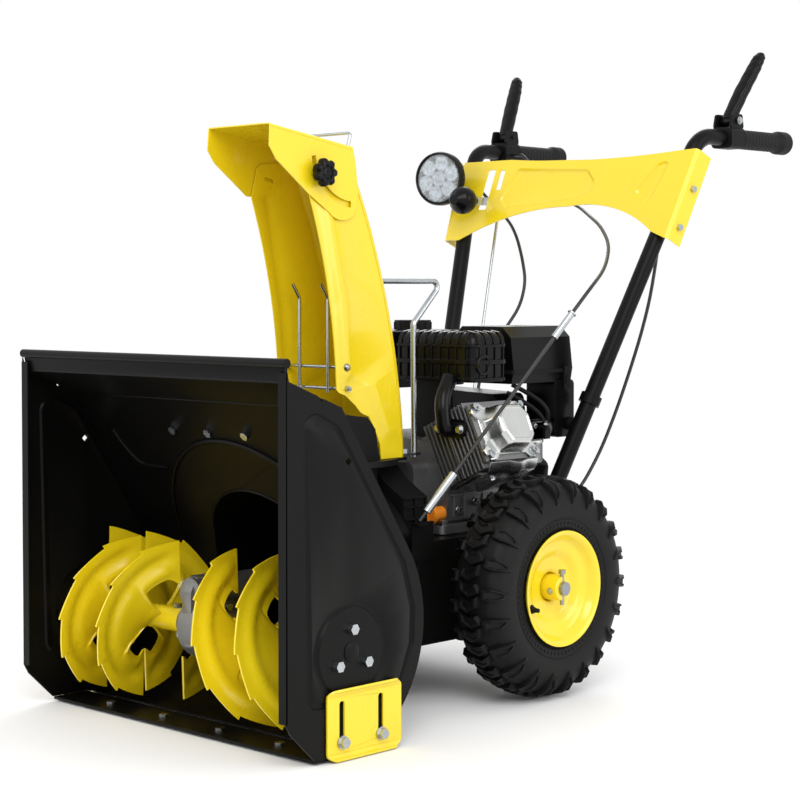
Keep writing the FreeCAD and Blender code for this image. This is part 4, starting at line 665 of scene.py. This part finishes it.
def augers():
    flights = [flight(x, angle) for x, angle in ((60, 0), (145, 180), (60, 180), (145, 0))]
    sleeve = lathe("x", (AUGER_Y, AUGER_Z), [(50, 9.6), (50, 16.2), (50.8, 17), (241.2, 17), (242, 16.2),
                                             (242, 9.6)])
    add_piece("auger_flights", both_sides(combine(sleeve, *flights)), "yellow_paint", "auger", ("augers",),
              bevel=0.4)


# ---------------------------------------------------------------- wheels
def tyre_skin(share):
    """Half profile of the casing: (place across, radius) from the crown, 0, to the bead, 1."""
    stations = [(0.0, 0.0, 157.0), (0.2, 17.0, 156.0), (0.38, 31.0, 151.5), (0.52, 40.5, 143.0), (0.66, 45.5,
                                                            130.0),
                (0.8, 46.5, 113.0), (0.92, 43.5, 96.0), (1.0, 41.5, 84.8)]
    for (s0, x0, r0), (s1, x1, r1) in zip(stations, stations[1:]):
        if share <= s1:
            part = (share - s0) / (s1 - s0)
            return x0 + (x1 - x0) * part, r0 + (r1 - r0) * part
    return stations[-1][1:]


def on_tyre(share, turn, height):
    """Point on the casing: share from -1 to 1 across, turn in degrees, height above the skin."""
    side = -1 if share < 0 else 1
    x, radius = tyre_skin(abs(share))
    x2, radius2 = tyre_skin(min(1.0, abs(share) + 0.02))
    normal = Vector((-(radius2 - radius), x2 - x)).normalized()
    x, radius = x + normal.x * height, radius + normal.y * height
    angle = math.radians(turn)
    return Vector((WHEEL_X + side * x, WHEEL_Y - radius * math.sin(angle),
                   WHEEL_Z + radius * math.cos(angle)))


def lug(outline, heights, turn, pocket=2.2):
    """Tread block with drafted sides and a shallow pocket in its face."""
    middle = (sum(p[0] for p in outline) / len(outline), sum(p[1] for p in outline) / len(outline))

    def loop(shrink, drop):
        return [on_tyre(middle[0] + (s - middle[0]) * shrink, turn + middle[1] + (t - middle[1]) * shrink,
                        h - drop)
                for (s, t), h in zip(outline, heights)]
    skirt = [on_tyre(middle[0] + (s - middle[0]) * 1.12, turn + middle[1] + (t - middle[1]) * 1.12, -1.0)
             for s, t in outline]
    return loft([skirt, loop(1.0, 1.2), loop(0.93, 0.0), loop(0.68, 0.0), loop(0.56, pocket)])


def tyre():
    profile = [(WHEEL_X + side * tyre_skin(abs(s))[0], tyre_skin(abs(s))[1])
               for s, side in ([(-1 + i / 16, -1) for i in range(16)] + [(i / 16, 1) for i in range(17)])]
    inner = [(WHEEL_X + 40, 79.5), (WHEEL_X - 40, 79.5)]
    casing = lathe("x", (WHEEL_Y, WHEEL_Z), profile + inner, count=96, closed=True)
    bead = [lathe("x", (WHEEL_Y, WHEEL_Z), [(WHEEL_X + side * (tyre_skin(s)[0] - 0.8), tyre_skin(s)[1] + 2.5),
                                            (WHEEL_X + side * (tyre_skin(s)[0] + 1.4), tyre_skin(s)[1]),
                                            (WHEEL_X + side * (tyre_skin(s)[0] - 0.8),
                                             tyre_skin(s)[1] - 2.5)],
                  count=72, closed=True) for side in (-1, 1) for s in (0.87, 0.965)]
    centre = [(-0.20, -1.0), (-0.04, 2.6), (0.16, 1.0), (0.22, 5.2), (0.02, 7.8), (-0.18, 4.6)]
    shoulder = [(0.26, 0.4), (0.40, -0.6), (0.56, 0.8), (0.70, 2.6), (0.70, 4.6), (0.54, 5.6), (0.38, 6.2),
                (0.27, 5.4)]
    shoulder_heights = [7.0, 8.6, 7.2, 2.6, 2.6, 7.2, 8.6, 7.0]
    lugs = []
    count = 22
    for i in range(count):
        turn = 360.0 * i / count
        lugs.append(lug(centre, [7.2] * 6, turn, 2.4))
        lugs.append(lug([(-s, t) for s, t in centre], [7.2] * 6, turn + 180.0 / count, 2.4))
        lugs.append(lug(shoulder, shoulder_heights, turn + 3.0, 2.0))
        lugs.append(lug([(-s, t) for s, t in shoulder], shoulder_heights, turn + 3.0 + 180.0 / count, 2.0))
    return combine(casing, *bead, *lugs)


def tyres():
    add_piece("tyres_tread", both_sides(tyre()), "tyre", "axle", ("tyres",), bevel=0.5, angle=40)


def rims():
    """Deep pressed dish with a rolled edge, a stepped centre and a long hub tube."""
    face = WHEEL_X + 47
    dish = [(face - 44, 19), (face - 30, 24), (face - 27.5, 30), (face - 27.5, 44), (face - 26, 49),
            (face - 20, 54),
            (face - 17.5, 60), (face - 16.5, 68), (face - 14.0, 73), (face - 8, 76.5), (face - 4, 79.5),
            (face - 2.2, 83), (face, 85.5), (face + 1.2, 85.2), (face + 1.0, 82.5), (face - 1.8, 78.5),
            (face - 6, 74.8), (face - 12.5, 71.0), (face - 14.5, 66), (face - 15.5, 60), (face - 18, 52.5),
            (face - 24, 47.5), (face - 25.5, 43), (face - 25.5, 30), (face - 26, 24), (face - 28, 21.5),
            (face - 30, 20.8)]
    dish = lathe("x", (WHEEL_Y, WHEEL_Z), dish + [(face - 44, 20.6)], count=96, closed=True)
    barrel = [(face - 8, 76.5), (face - 14, 76.0), (face - 88, 76.0), (face - 90, 83), (face - 92, 84.5),
              (face - 92, 82), (face - 90, 74.0), (face - 14, 74.0)]
    barrel = lathe("x", (WHEEL_Y, WHEEL_Z), barrel, count=72, closed=True)
    hub = lathe("x", (WHEEL_Y, WHEEL_Z), [(160, 10.2), (160, 18), (face - 30, 19.5), (face - 6, 18.5),
                                          (face - 2.5, 17.4), (face - 1.5, 15.5), (face - 1.8, 10.2)],
                                          closed=True)
    add_piece("rims_pressed", both_sides(combine(dish, barrel, hub)), "yellow_paint", "axle", ("rims",),
              angle=40)


def wheel_trim():
    """Valve stems in their holes and the grease fittings on the hubs."""
    turn = math.radians(115)
    y, z = WHEEL_Y - 62 * math.sin(turn), WHEEL_Z + 62 * math.cos(turn)
    face = WHEEL_X + 47
    valve = lathe("x", (y, z), [(face - 19, 7.5), (face - 15.2, 7.2), (face - 14.6, 5.8), (face - 9, 4.2),
                                (face - 8, 3.4), (face - 2, 3.2), (face - 1.4, 2.4)], 20)
    add_piece("tyre_valves", both_sides(valve), "black_matte", "axle")
    nipple = hex_bolt(8, 3.2, (face - 12, WHEEL_Y - 18.6, WHEEL_Z - 3), (0, -1, -0.2), 5.2)
    add_piece("hub_fittings", both_sides(nipple), "zinc", "axle")


# ---------------------------------------------------------------- chute and hood
def rear_curve(count=15):
    return [(-147.5, 355.0), (-147.5, 372.0)] + arc((-147.5, 372.0), (-185.0, 597.0), (-262.0, 796.0), count)


def chute():
    """Folded channel with round back corners, and ribs pressed into its sides."""
    rear = rear_curve()
    corner = 9.0
    front = [(-262.0, 796.0), (-325, 786), (-332, 781), (-343, 737)]
    front += arc((-343, 737), (-303, 585), (-290, 460), 12)
    front += [(-286, 456), (-272, 451), (-252, 436), (-242, 426), (-236, 422.5), (-225, 419), (-213, 402),
              (-201, 376),
              (-199, 355)]

    def back_edge(offset):
        points = []
        for i, (y, z) in enumerate(rear):
            ahead = Vector(rear[min(i + 1, len(rear) - 1)]) - Vector(rear[max(i - 1, 0)])
            ahead.normalize()
            points.append((y - ahead.y * offset, z + ahead.x * offset))
        return points
    seam = back_edge(corner)
    outline = seam + [(p[0], p[1]) for p in front if p[0] < seam[-1][0] - 0.5 or p[1] < 700]
    rib = rounded([(-322, 742), (-304, 742), (-268, 585), (-258, 480), (-272, 470), (-280, 480), (-290,
                                                            585)], 7, 4)
    low_rib = rounded([(-238, 470), (-208, 470), (-172, 395), (-176, 384), (-190, 392)], 6, 4)
    slot_hole = [(-318, 768), (-300, 765), (-300, 760), (-318, 763)]

    def outwards(y, z, h):
        return Vector((CHUTE_HALF + h, y, z))
    steps = [(rib, 0.0), (inset(rib, 3.5), 2.2), (low_rib, 0.0), (inset(low_rib, 4), 1.6)]
    knob_hole = [(KNOB_Y + a, KNOB_Z + b) for a, b in ring_points(4.3, 16)]
    right = pressed(outline, steps, [knob_hole], outwards, 2.0)
    left = mirrored(pressed(outline, steps, [slot_hole], outwards, 2.0))
    rows = []
    for i in range(len(rear)):
        row = []
        bend = [(CHUTE_HALF - corner + corner * math.sin(t), corner - corner * math.cos(t))
                for t in (math.radians(90 - 15 * k) for k in range(7))]
        across = [(x, d) for x, d in bend] + [(x, 0.0) for x in (40, 20, 0, -20, -40)] + [(-x, d) for x,
                                                            d in bend[::-1]]
        for x, depth in across:
            y, z = back_edge(depth)[i]
            row.append((x, y, z))
        rows.append(row)
    back = sheet(rows, 2.0)
    knuckle = lathe("x", (HOOD_Y, HOOD_Z), [(-20, 2.6), (-20, 5.0), (-19.4, 5.5), (19.4, 5.5), (20, 5.0),
                                            (20, 2.6)], 32)
    tab = block((-20, 20), (-264, -262), (790, 800))
    add_piece("chute_folded", combine(right, left, back, knuckle, tab), "yellow_paint", "chute", ("chute",),
              bevel=0.35)
    heads = []
    for side in (1, -1):
        cap = [(side * (CHUTE_HALF + a), r) for a, r in ((0, 6.2), (2.5, 6.0), (5.5, 4.6), (7.2, 2.6), (7.8,
                                                            0.5))]
        heads.append(lathe("x", (-272, 492), cap, 24))
        stub = [(side * (CHUTE_HALF + a), r) for a, r in ((0, 2.6), (8.4, 2.6), (9.0, 1.8))]
        heads.append(lathe("x", (-270, 461), stub, 16))
    add_piece("guard_caps", combine(*heads), "steel", "chute")


def hood():
    """Deflector: a top plate folded down into two flanges, one with the curved slot."""
    bend = 4.0
    top_z = HOOD_Z + 5.5
    slope = (833.0 - top_z) / (-420.0 - HOOD_Y)
    slotted = [(HOOD_Y + 2, top_z), (-421, 833), (-423, 802), (-410, 784), (-349, 739), (-309, 714)]
    slotted += arc((-309, 714), (-281, 703), (-258, 712), 8) + [(-250, 742), (-255, 785)]
    plain = [(HOOD_Y + 2, top_z), (-421, 833), (-423, 802), (-410, 784), (-349, 739), (-325, 738), (-270,
                                                            765),
             (-255, 785)]
    slot = []
    for radius, turns in ((77 + 4.4, range(8, 89, 5)), (77 - 4.4, range(88, 7, -5))):
        for degrees in turns:
            turn = math.radians(degrees)
            slot.append((HOOD_Y - radius * math.cos(turn), HOOD_Z - radius * math.sin(turn)))

    def fold(y, z, h):
        drop = (top_z + slope * (y - HOOD_Y)) - z
        lean = bend * (1 - smooth_step(drop / bend)) * 0.5
        return Vector((HOOD_HALF + h - lean * 0.4, y, z))
    right = pressed(slotted, [], [slot], fold, 2.0)
    left = mirrored(pressed(plain, [], [], fold, 2.0))
    rows = []
    for share in (0.0, 0.03, 0.97, 1.0):
        y = HOOD_Y + (-421 - HOOD_Y) * share
        z = top_z + slope * (y - HOOD_Y)
        edge = [(HOOD_HALF - 1.0 - bend + bend * math.sin(t), -bend + bend * math.cos(t))
                for t in (math.radians(90 - 15 * k) for k in range(7))]
        across = edge + [(x, 0.0) for x in (30, 0, -30)] + [(-x, d) for x, d in edge[::-1]]
        rows.append([(x, y, z + d) for x, d in across])
    top = sheet(rows, 2.0)
    knuckles = [lathe("x", (HOOD_Y, HOOD_Z), [(x, 2.6), (x, 5.0), (x + 0.6, 5.5), (x + 25.4, 5.5), (x + 26,
                                                            5.0),
                                              (x + 26, 2.6)], 32) for x in (-47, 21)]
    add_piece("hood_folded", combine(right, left, top, *knuckles), "yellow_paint", "deflector",
              ("deflector",),
              bevel=0.35)


def hood_knob():
    """Seven-lobed hand knob with a recessed cap."""
    def lobed(x, size):
        loop = []
        for i in range(84):
            turn = 2 * math.pi * i / 84
            radius = size * (1 + 0.13 * math.cos(7 * turn) - 0.03 * math.cos(14 * turn))
            loop.append(Vector((x, KNOB_Y + radius * math.cos(turn), KNOB_Z + radius * math.sin(turn))))
        return loop
    body = loft([lobed(x, r) for x, r in ((66.6, 10), (67.2, 11), (72, 12), (74, 15), (75, 17.5), (77, 18.6),
                                          (83, 18.8),
                                          (86, 17.6), (87.6, 15), (87.9, 11.5), (87.0, 9.5), (85.4, 8.6))])
    cap = lathe("x", (KNOB_Y, KNOB_Z), [(84, 8.4), (86.2, 8.2), (87.0, 6.5), (87.0, 3.0), (86.2, 2.2), (86.2,
                                                            0.2)], 36)
    stud = lathe("x", (KNOB_Y, KNOB_Z), [(56.8, 7.8), (59.4, 7.8), (59.5, 4.0), (67.5, 4.0)], 24)
    add_piece("hood_knob_moulded", combine(body, cap), "black_gloss", "deflector_knob", ("deflector_knob",))
    add_piece("hood_knob_stud", stud, "zinc", "deflector_knob")


# ---------------------------------------------------------------- handlebars and panel


def panel_point(x, along, out):
    """Across, height up the slope of the tubes, and distance in front of them."""
    norm = math.hypot(1.0, BAR_LEAN_Y)
    return Vector((x, BAR_Y + BAR_LEAN_Y * (along - BAR_Z) - out / norm, along + out * BAR_LEAN_Y / norm))


def panel():
    """Pressed bridge with two sunk fields, a gate, a window and wrapped ends."""
    outline = [(-232, 684), (-203, 684)] + arc((-203, 684), (-109, 720), (20, 736), 14)
    outline += arc((20, 736), (130, 727), (205, 690), 14) + [(232, 680), (251, 822)]
    outline += arc((240, 822), (63, 814), (-130, 822), 16) + [(-239, 822)]
    long_field = rounded([(-134, 752), (-110, 806), (44, 798), (66, 776), (62, 762), (40, 750), (-30, 742),
                          (-118, 738)], 9, 4)
    small_field = rounded([(150, 752), (184, 800), (210, 808), (186, 736)], 9, 4)
    steps = []
    for field in (long_field, small_field):
        steps += [(field, 0.0), (inset(field, 3), -3.2), (inset(field, 5.5), -4.2)]
    gate = [(-177, 736), (-160, 736), (-160, 806), (-177, 806)]
    window = [(-149, 770), (-138, 770), (-138, 804), (-149, 804)]
    face = pressed(outline, steps, [gate, window], lambda x, z, h: panel_point(x, z, PANEL_GAP + 2 + h), 2.0)
    ends = []
    for side, low_x, low_z, high_x in ((1, 232, 680, 251), (-1, 232, 684, 247)):
        rows = []
        for i in range(9):
            share = i / 8
            x, z = low_x + (high_x - low_x) * share, low_z + (822 - low_z) * share
            bend = [(x - 1, PANEL_GAP + 1), (x + 1.6, PANEL_GAP + 0.6), (x + 3.6, PANEL_GAP - 1), (x + 4.6,
                                                            PANEL_GAP - 4),
                    (x + 4.8, 2), (x + 4.8, -22)]
            rows.append([panel_point(side * a, z, out) for a, out in bend])
        ends.append(sheet(rows, 2.0))
    brow = [[panel_point(x, z - drop, PANEL_GAP + 1 - back) for drop, back in ((0, 0), (-0.6, 1.5), (-0.8,
                                                            4), (-0.8, 14))]
            for x, z in ((-200, 820), (-130, 820), (-60, 816.6), (63, 813), (110, 813), (145, 815))]
    add_piece("panel_pressed", combine(face, *ends, sheet(brow, 2.0)), "yellow_paint", "chassis",
              ("control_panel",))


def grips():
    def sleeve():
        path, radii = [], []
        for i in range(138):
            y = 458.0 + i
            rib = 0.8 * max(0.0, math.sin((y - 462) * 2 * math.pi / 9.0)) if y < 556 else 0.0
            radii.append(15.4 + rib + 4.0 * smooth_step((y - 556) / 14) - 5.5 * smooth_step((y - 589) / 6))
            path.append((GRIP_X + GRIP_LEAN * (y - 349.5), y, GRIP_Z))
        return tube(path, radii, 32)
    add_piece("grips_moulded", both_sides(sleeve()), "grip_rubber", "chassis", ("grips",))


def lever(side):
    """Long glossy lever with a rounded section and a moulded wave down its face."""
    stations = [(0, 2, 0, 11, 9), (24, 48, 8, 12.5, 8.5), (46, 86, 16, 12, 8), (57, 107, 20.5, 10, 7),
                (60, 113, 22, 5.5, 4.5)]
    loops = []
    for i in range(57):
        spot = 4.0 * i / 56
        low = min(3, int(spot))
        part = spot - low
        y, z, out, wide, deep = [a + (b - a) * part for a, b in zip(stations[low], stations[low + 1])]
        wave = 0.35 * math.sin(i * 0.9) * smooth_step(i / 12) * smooth_step((56 - i) / 8)
        loop = []
        for k in range(20):
            turn = 2 * math.pi * k / 20
            a = math.copysign(abs(math.cos(turn)) ** 0.6, math.cos(turn)) * (wide + wave)
            b = math.copysign(abs(math.sin(turn)) ** 0.7, math.sin(turn)) * (deep + wave * math.cos(turn * 2))
            loop.append(Vector((side * (LEVER_X + out + a), LEVER_Y + y + b, LEVER_Z + z - 0.4 * b)))
        loops.append(loop)
    hub = lathe("x", (LEVER_Y, LEVER_Z), [(side * (LEVER_X + a), r) for a, r in
                ((-12.8, 3.3), (-12.8, 8.6), (-12.2, 9), (12.2, 9), (12.8, 8.6), (12.8, 3.3))], 36)
    name = "right" if side > 0 else "left"
    add_piece("lever_" + name + "_moulded", combine(loft(loops), hub), "black_gloss", "clutch_lever_" + name,
              ("clutch_lever_" + name,), angle=45)
    bolt = hex_bolt(9, 4, (side * (LEVER_X + 21), LEVER_Y, LEVER_Z), (side, 0, 0), 6.5)
    add_piece("lever_bolt_" + name, bolt, "zinc", "chassis")


def lamp_point(point):
    x, y, z = point
    turn = LAMP_YAW
    return Vector((LAMP_AT[0] + x * math.cos(turn) - y * math.sin(turn),
                   LAMP_AT[1] + x * math.sin(turn) + y * math.cos(turn), LAMP_AT[2] + z))


def headlight():
    """Round lamp: ribbed bowl, thick rim, bright cells and a faceted clear front."""
    bowl = lathe("y", (0, 0), [(2.5, 41.2), (-2.4, 41.2), (-3.6, 42.6), (-3.4, 45.4), (0, 47), (10, 47),
                               (12.5, 45.5),
                               (14, 41), (17, 40.4), (17.6, 38), (24, 36), (26, 31), (34, 28), (38, 20),
                               (40.5, 18),
                               (40.5, 0.2)], 64)
    ear = prism("x", (-4, 4), rounded([(36, -7.5), (57.5, -7.5), (57.5, 7.5), (36, 7.5)], 6, 5))
    body = placed(combine(bowl, ear), lamp_point)
    add_piece("lamp_bowl", body, "black_gloss", "headlight", ("headlight",), angle=30)
    cells = [lathe("y", (0, 0), [(2.6, 41.1), (2.4, 41.1), (2.2, 39.5), (2.6, 39.5)], 48, closed=True)]
    spots = [(0, 0)] + ring_points(26.5, 6, 0.3)
    for a, b in spots:
        cells.append(lathe("y", (a, b), [(0.2, 13.6), (0.2, 12.9), (3.6, 8.5), (4.6, 4.6), (3.4, 4.2), (2.6,
                                                            0.3)], 12))
    for a, b in ring_points(38.5, 12, 0.1):
        cells.append(lathe("y", (a, b), [(0.6, 3.4), (0.2, 2.6), (1.0, 0.3)], 8))
    add_piece("lamp_cells", placed(combine(*cells), lamp_point), "zinc", "headlight")
    cover = []
    rings = [(0.0, -2.6), (9, -3.2), (17, -2.5), (25, -3.2), (32, -2.5), (38, -2.9), (41, -1.4)]
    for radius, y in rings:
        cover.append([Vector((radius * math.cos(2 * math.pi * k / 24), y + 0.5 * (k % 2) * (0 < radius < 40),
                              radius * math.sin(2 * math.pi * k / 24))) for k in range(24)])
    cover[0] = [Vector((0.05 * math.cos(2 * math.pi * k / 24), -2.6, 0.05 * math.sin(2 * math.pi * k / 24)))
                for k in range(24)]
    back = [[Vector((p.x, -0.9, p.z)) for p in loop] for loop in cover[::-1]]
    lens = placed(loft(cover + back, caps=True), lamp_point)
    add_piece("lamp_lens", lens, "lens", "headlight", angle=5)


def shift_knob():
    profile = [(214, 2.5), (214, 9), (216, 10.4), (219, 14), (223, 19), (229, 22.8), (236, 24.0), (243, 23.2),
               (250, 20.4), (257, 15.2), (262, 12), (265, 11), (266, 10.2), (266, 2.5)]
    add_piece("shift_knob_moulded", lathe("y", (SHIFT_X, SHIFT_Z), profile, 48), "black_gloss", "shift_lever",
              ("shift_knob",), angle=50)


# ---------------------------------------------------------------- engine
def tilted(u, v, w):
    """A point in the cylinder's own frame, u along the bore."""
    return Vector((u * math.cos(CYLINDER_TILT) - w * math.sin(CYLINDER_TILT), CYLINDER_Y + v,
                   CYLINDER_Z + u * math.sin(CYLINDER_TILT) + w * math.cos(CYLINDER_TILT)))


def box_loop(x, y, radius, z, shrink):
    corners = [(x[0] + shrink, y[0] + shrink), (x[1] - shrink, y[0] + shrink), (x[1] - shrink, y[1] - shrink),
               (x[0] + shrink, y[1] - shrink)]
    return [Vector((a, b, z)) for a, b in rounded(corners, max(3.0, radius - shrink), 6)]


def muffler_guard():
    """Ribbed cast guard with bands round it, bars over its shoulders and a round outlet."""
    x, y = (-18, 148), (-92, -12)
    levels = [(466, 0), (468, -1.5), (472, -1.5), (473, 0.5), (492, 0.5), (493, -2), (499, -2), (500, 0.5),
              (517, 0.5),
              (518, -1.2), (522, -1.2), (523, 1), (532, 2.5), (538, 8), (541, 15), (541, 22)]
    shell = loft([box_loop(x, y, 16, z, shrink) for z, shrink in levels])
    ribs = []
    for i in range(9):
        at = x[0] + 16 + i * 16.5
        ribs.append(block((at - 1.5, at + 1.5), (y[0] - 1.6, y[0] + 6), (468, 521)))
        ribs.append(prism("x", (at - 3.6, at + 3.6), [(y[0] - 1.5, 522), (y[0] + 1.5, 533), (y[0] + 8, 540.5),
                                                     (y[0] + 24, 543), (y[0] + 24, 538), (y[0] + 6, 524)]))
    for i in range(4):
        at = y[0] + 14 + i * 17.5
        ribs.append(block((x[1] - 6, x[1] + 1.6), (at - 1.5, at + 1.5), (468, 521)))
        ribs.append(prism("y", (at - 3.6, at + 3.6), [(x[1] + 1.5, 522), (x[1] - 1.5, 533), (x[1] - 8, 540.5),
                                                     (x[1] - 24, 543), (x[1] - 24, 538), (x[1] - 6, 524)]))
    outlet = lathe("x", (-70, 492), [(142, 16), (149.8, 16), (151, 14.6), (151, 12.4), (149.8, 11), (143,
                                                            10.4)], 32,
                   closed=True)
    add_piece("muffler_guard_cast", combine(shell, outlet, *ribs), "black_gloss", "chassis",
              ("muffler_guard",),
              bevel=0.7)
    flange = prism("y", (-112, -103), rounded([(90, 388), (146, 388), (146, 408), (90, 408)], 9, 5))
    add_piece("elbow_flange", flange, "black_matte", "chassis", bevel=0.6)
    bolts = [hex_bolt(10, 6, (x, -112, 398), (0, -1, 0), 7) for x in (97.5, 139.5)]
    add_piece("elbow_bolts", combine(*bolts), "zinc", "chassis")


def valve_cover():
    """Polished cover: a flange with four eared bolts and a raised plain dome."""
    corners = [(-58, -34), (-50, -45), (-38, -45), (-30, -38), (30, -38), (38, -45), (50, -45), (58, -34),
               (58, -28),
               (50, -20), (50, 20), (58, 28), (58, 34), (50, 45), (38, 45), (30, 38), (-30, 38), (-38, 45),
               (-50, 45),
               (-58, 34), (-58, 28), (-50, 20), (-50, -20), (-58, -28)]
    edge = rounded(corners, 4, 3)
    rim = loft([[tilted(u, a * f, b * f) for a, b in edge] for u, f in ((182, 1), (186.4, 1), (187.2,
                                                            0.985))])
    top = rounded([(-34, -12), (-24, -31), (20, -33), (36, -19), (38, 14), (24, 32), (-22, 33), (-36, 14)],
                  6, 4)
    dome = loft([[tilted(u, a * f, b * f) for a, b in top]
                 for u, f in ((186, 1.16), (188, 1.12), (191, 1.08), (205, 1.02), (210, 0.97), (213, 0.9),
                              (215, 0.8),
                              (215, 0.76), (213.6, 0.72))])
    add_piece("valve_cover_polished", combine(rim, dome), "bright_aluminium", "chassis", ("valve_cover",),
              angle=40)
    out = tilted(1, 0, 0) - tilted(0, 0, 0)
    bolts = [hex_bolt(9, 6, tilted(187, v, w), out, 6.4) for v in (-47, 47) for w in (-35, 35)]
    add_piece("valve_cover_bolts", combine(*bolts), "zinc", "chassis")


def lower_shroud():
    """Bright folded plate under the cylinder."""
    path = [(96, -60), (140, -61), (172, -60), (178, -58), (186, -48)]
    rows = [[tilted(u, v, w - 4 * bell((v - 10) / 22)) for v in range(-54, 56, 6)] for u, w in path]
    plate = sheet(rows, 1.6)
    add_piece("cylinder_shroud", plate, "bright_aluminium", "chassis", bevel=0.3, angle=50)
    bolt = hex_bolt(9, 4, tilted(150, -20, -62), tilted(0, 0, -1) - tilted(0, 0, 0), 6)
    add_piece("cylinder_shroud_bolt", bolt, "zinc", "chassis")


def air_box_trim():
    """Lid seam, clip and hoses."""
    band = loft([[Vector((a, b, z)) for a, b in rounded([(4, 26), (125.5, 26), (125.5, 174), (4, 174)], 8, 4)]
                 for z in (474, 475, 479, 480)])
    clip = combine(block((124, 129), (146, 162), (448, 484)), block((124, 131), (149, 159), (456, 470)))
    boss = lathe("x", (168, 392), [(120, 11), (134, 10), (138, 8), (138, 3)], 24)
    add_piece("air_box_trim", combine(band, clip, boss), "black_matte", "chassis", bevel=0.6)
    hoses = []
    for shift in (0.0, 12.0):
        hoses.append(tube([(112 + 26 * math.sin(math.pi * t / 24), 26 + shift + 3.6 * t,
                            446 - 2.6 * t + shift)
                           for t in range(25)], 3.6))
    add_piece("breather_hoses", combine(*hoses), "black_matte", "chassis")
    bowl = lathe("z", (117, 80), [(330, 3), (330, 6), (335, 6.4), (335.6, 14), (339, 17), (366, 17), (367,
                                                            18.6),
                                  (371, 18.6), (372, 17)], 40)
    body = block((100, 134), (62, 98), (372, 400))
    add_piece("carburettor_cast", combine(bowl, body), "bright_aluminium", "chassis", bevel=0.8)
    screws = [hex_bolt(6, 2.4, (134, y, 394), (1, 0, 0), 4) for y in (68, 92)]
    add_piece("carburettor_screws", combine(*screws), "zinc", "chassis")


def engine_details():
    """Case bolts, ribs on the crankcase and the governor's rod, arm and spring."""
    ribs = [block((88, 99), (y, y + 3), (262, 330)) for y in (-80, -58, -14, 8, 30)]
    ribs.append(block((90, 101), (-88, 52), (294, 298)))
    add_piece("crankcase_ribs", combine(*ribs), "cast_aluminium", "chassis", bevel=0.6)
    heads = [hex_bolt(10, 6, (98, y, z), (1, 0, 0), 7) for y, z in ((-69, 272), (-30, 282), (19, 270), (42,
                                                            312))]
    add_piece("crankcase_bolts", combine(*heads), "zinc", "chassis")
    rod = tube([(92 + t * 0.4, 44 + 0.4 * t, 330 + 2.2 * t) for t in range(24)], 1.6)
    arm = prism("x", (90, 93), [(36, 322), (48, 322), (58, 372), (52, 374)])
    coil = []
    for i in range(120):
        turn = 2 * math.pi * i / 10
        coil.append((106 + 3.4 * math.cos(turn), 60 - 0.35 * i, 424 + 3.4 * math.sin(turn)))
    add_piece("governor_linkage", combine(rod, arm, tube(coil, 0.7, 8)), "zinc", "chassis")


def sidewall_dashes():
    """Small raised bars in a ring near each bead."""
    dashes = []
    for i in range(72):
        turn = 5.0 * i
        for side in (1, -1):
            corners = [(0.905, turn), (0.905, turn + 2.0), (0.935, turn + 2.0), (0.935, turn)]
            low = [on_tyre(side * a, b, -0.6) for a, b in corners]
            high = [on_tyre(side * a, b, 0.8) for a, b in corners]
            dashes.append(loft([low, high]))
    add_piece("tyre_dashes", both_sides(combine(*dashes)), "tyre", "axle", angle=40)


# nodes that keep their own shape, with the width of their softened edges in mm
SOFTENED = {
    "housing_shell": 0.4, "scraper_bar": 0.5, "gearbox_housing": 2.0, "impeller_drum": 0.6,
    "impeller": 0.5, "chute_base": 1.2, "belt_cover": 2.0, "frame_box": 0.8, "engine_block": 1.0,
    "cylinder_head": 0.6, "air_box": 3.0, "fan_shroud": 2.5, "recoil_starter": 1.5, "fuel_tank": 2.0,
    "brackets": 0.7, "lever_brackets": 1.0, "oil_cap": 0.8, "fuel_cap": 0.8, "starter_grip": 0.8, "fasteners": 0.35,
    "engine_pulley": 0.6, "handlebars": 0.0,
}


# ---------------------------------------------------------------- building it
side_plates()
housing_details()
skid_shoe(1)
skid_shoe(-1)
cover_ribs()
augers()
engine_details()
sidewall_dashes()
tyres()
rims()
wheel_trim()
chute()
hood()
hood_knob()
panel()
grips()
lever(1)
lever(-1)
headlight()
shift_knob()
muffler_guard()
valve_cover()
lower_shroud()
air_box_trim()
for softened_node, softened_width in SOFTENED.items():
    refine(softened_node, softened_width)
for node, cad_object in NODES.items():
    cad_object.data.materials.clear()
    cad_object.data.materials.append(MATERIALS[SLOT_OF_NODE[node]])
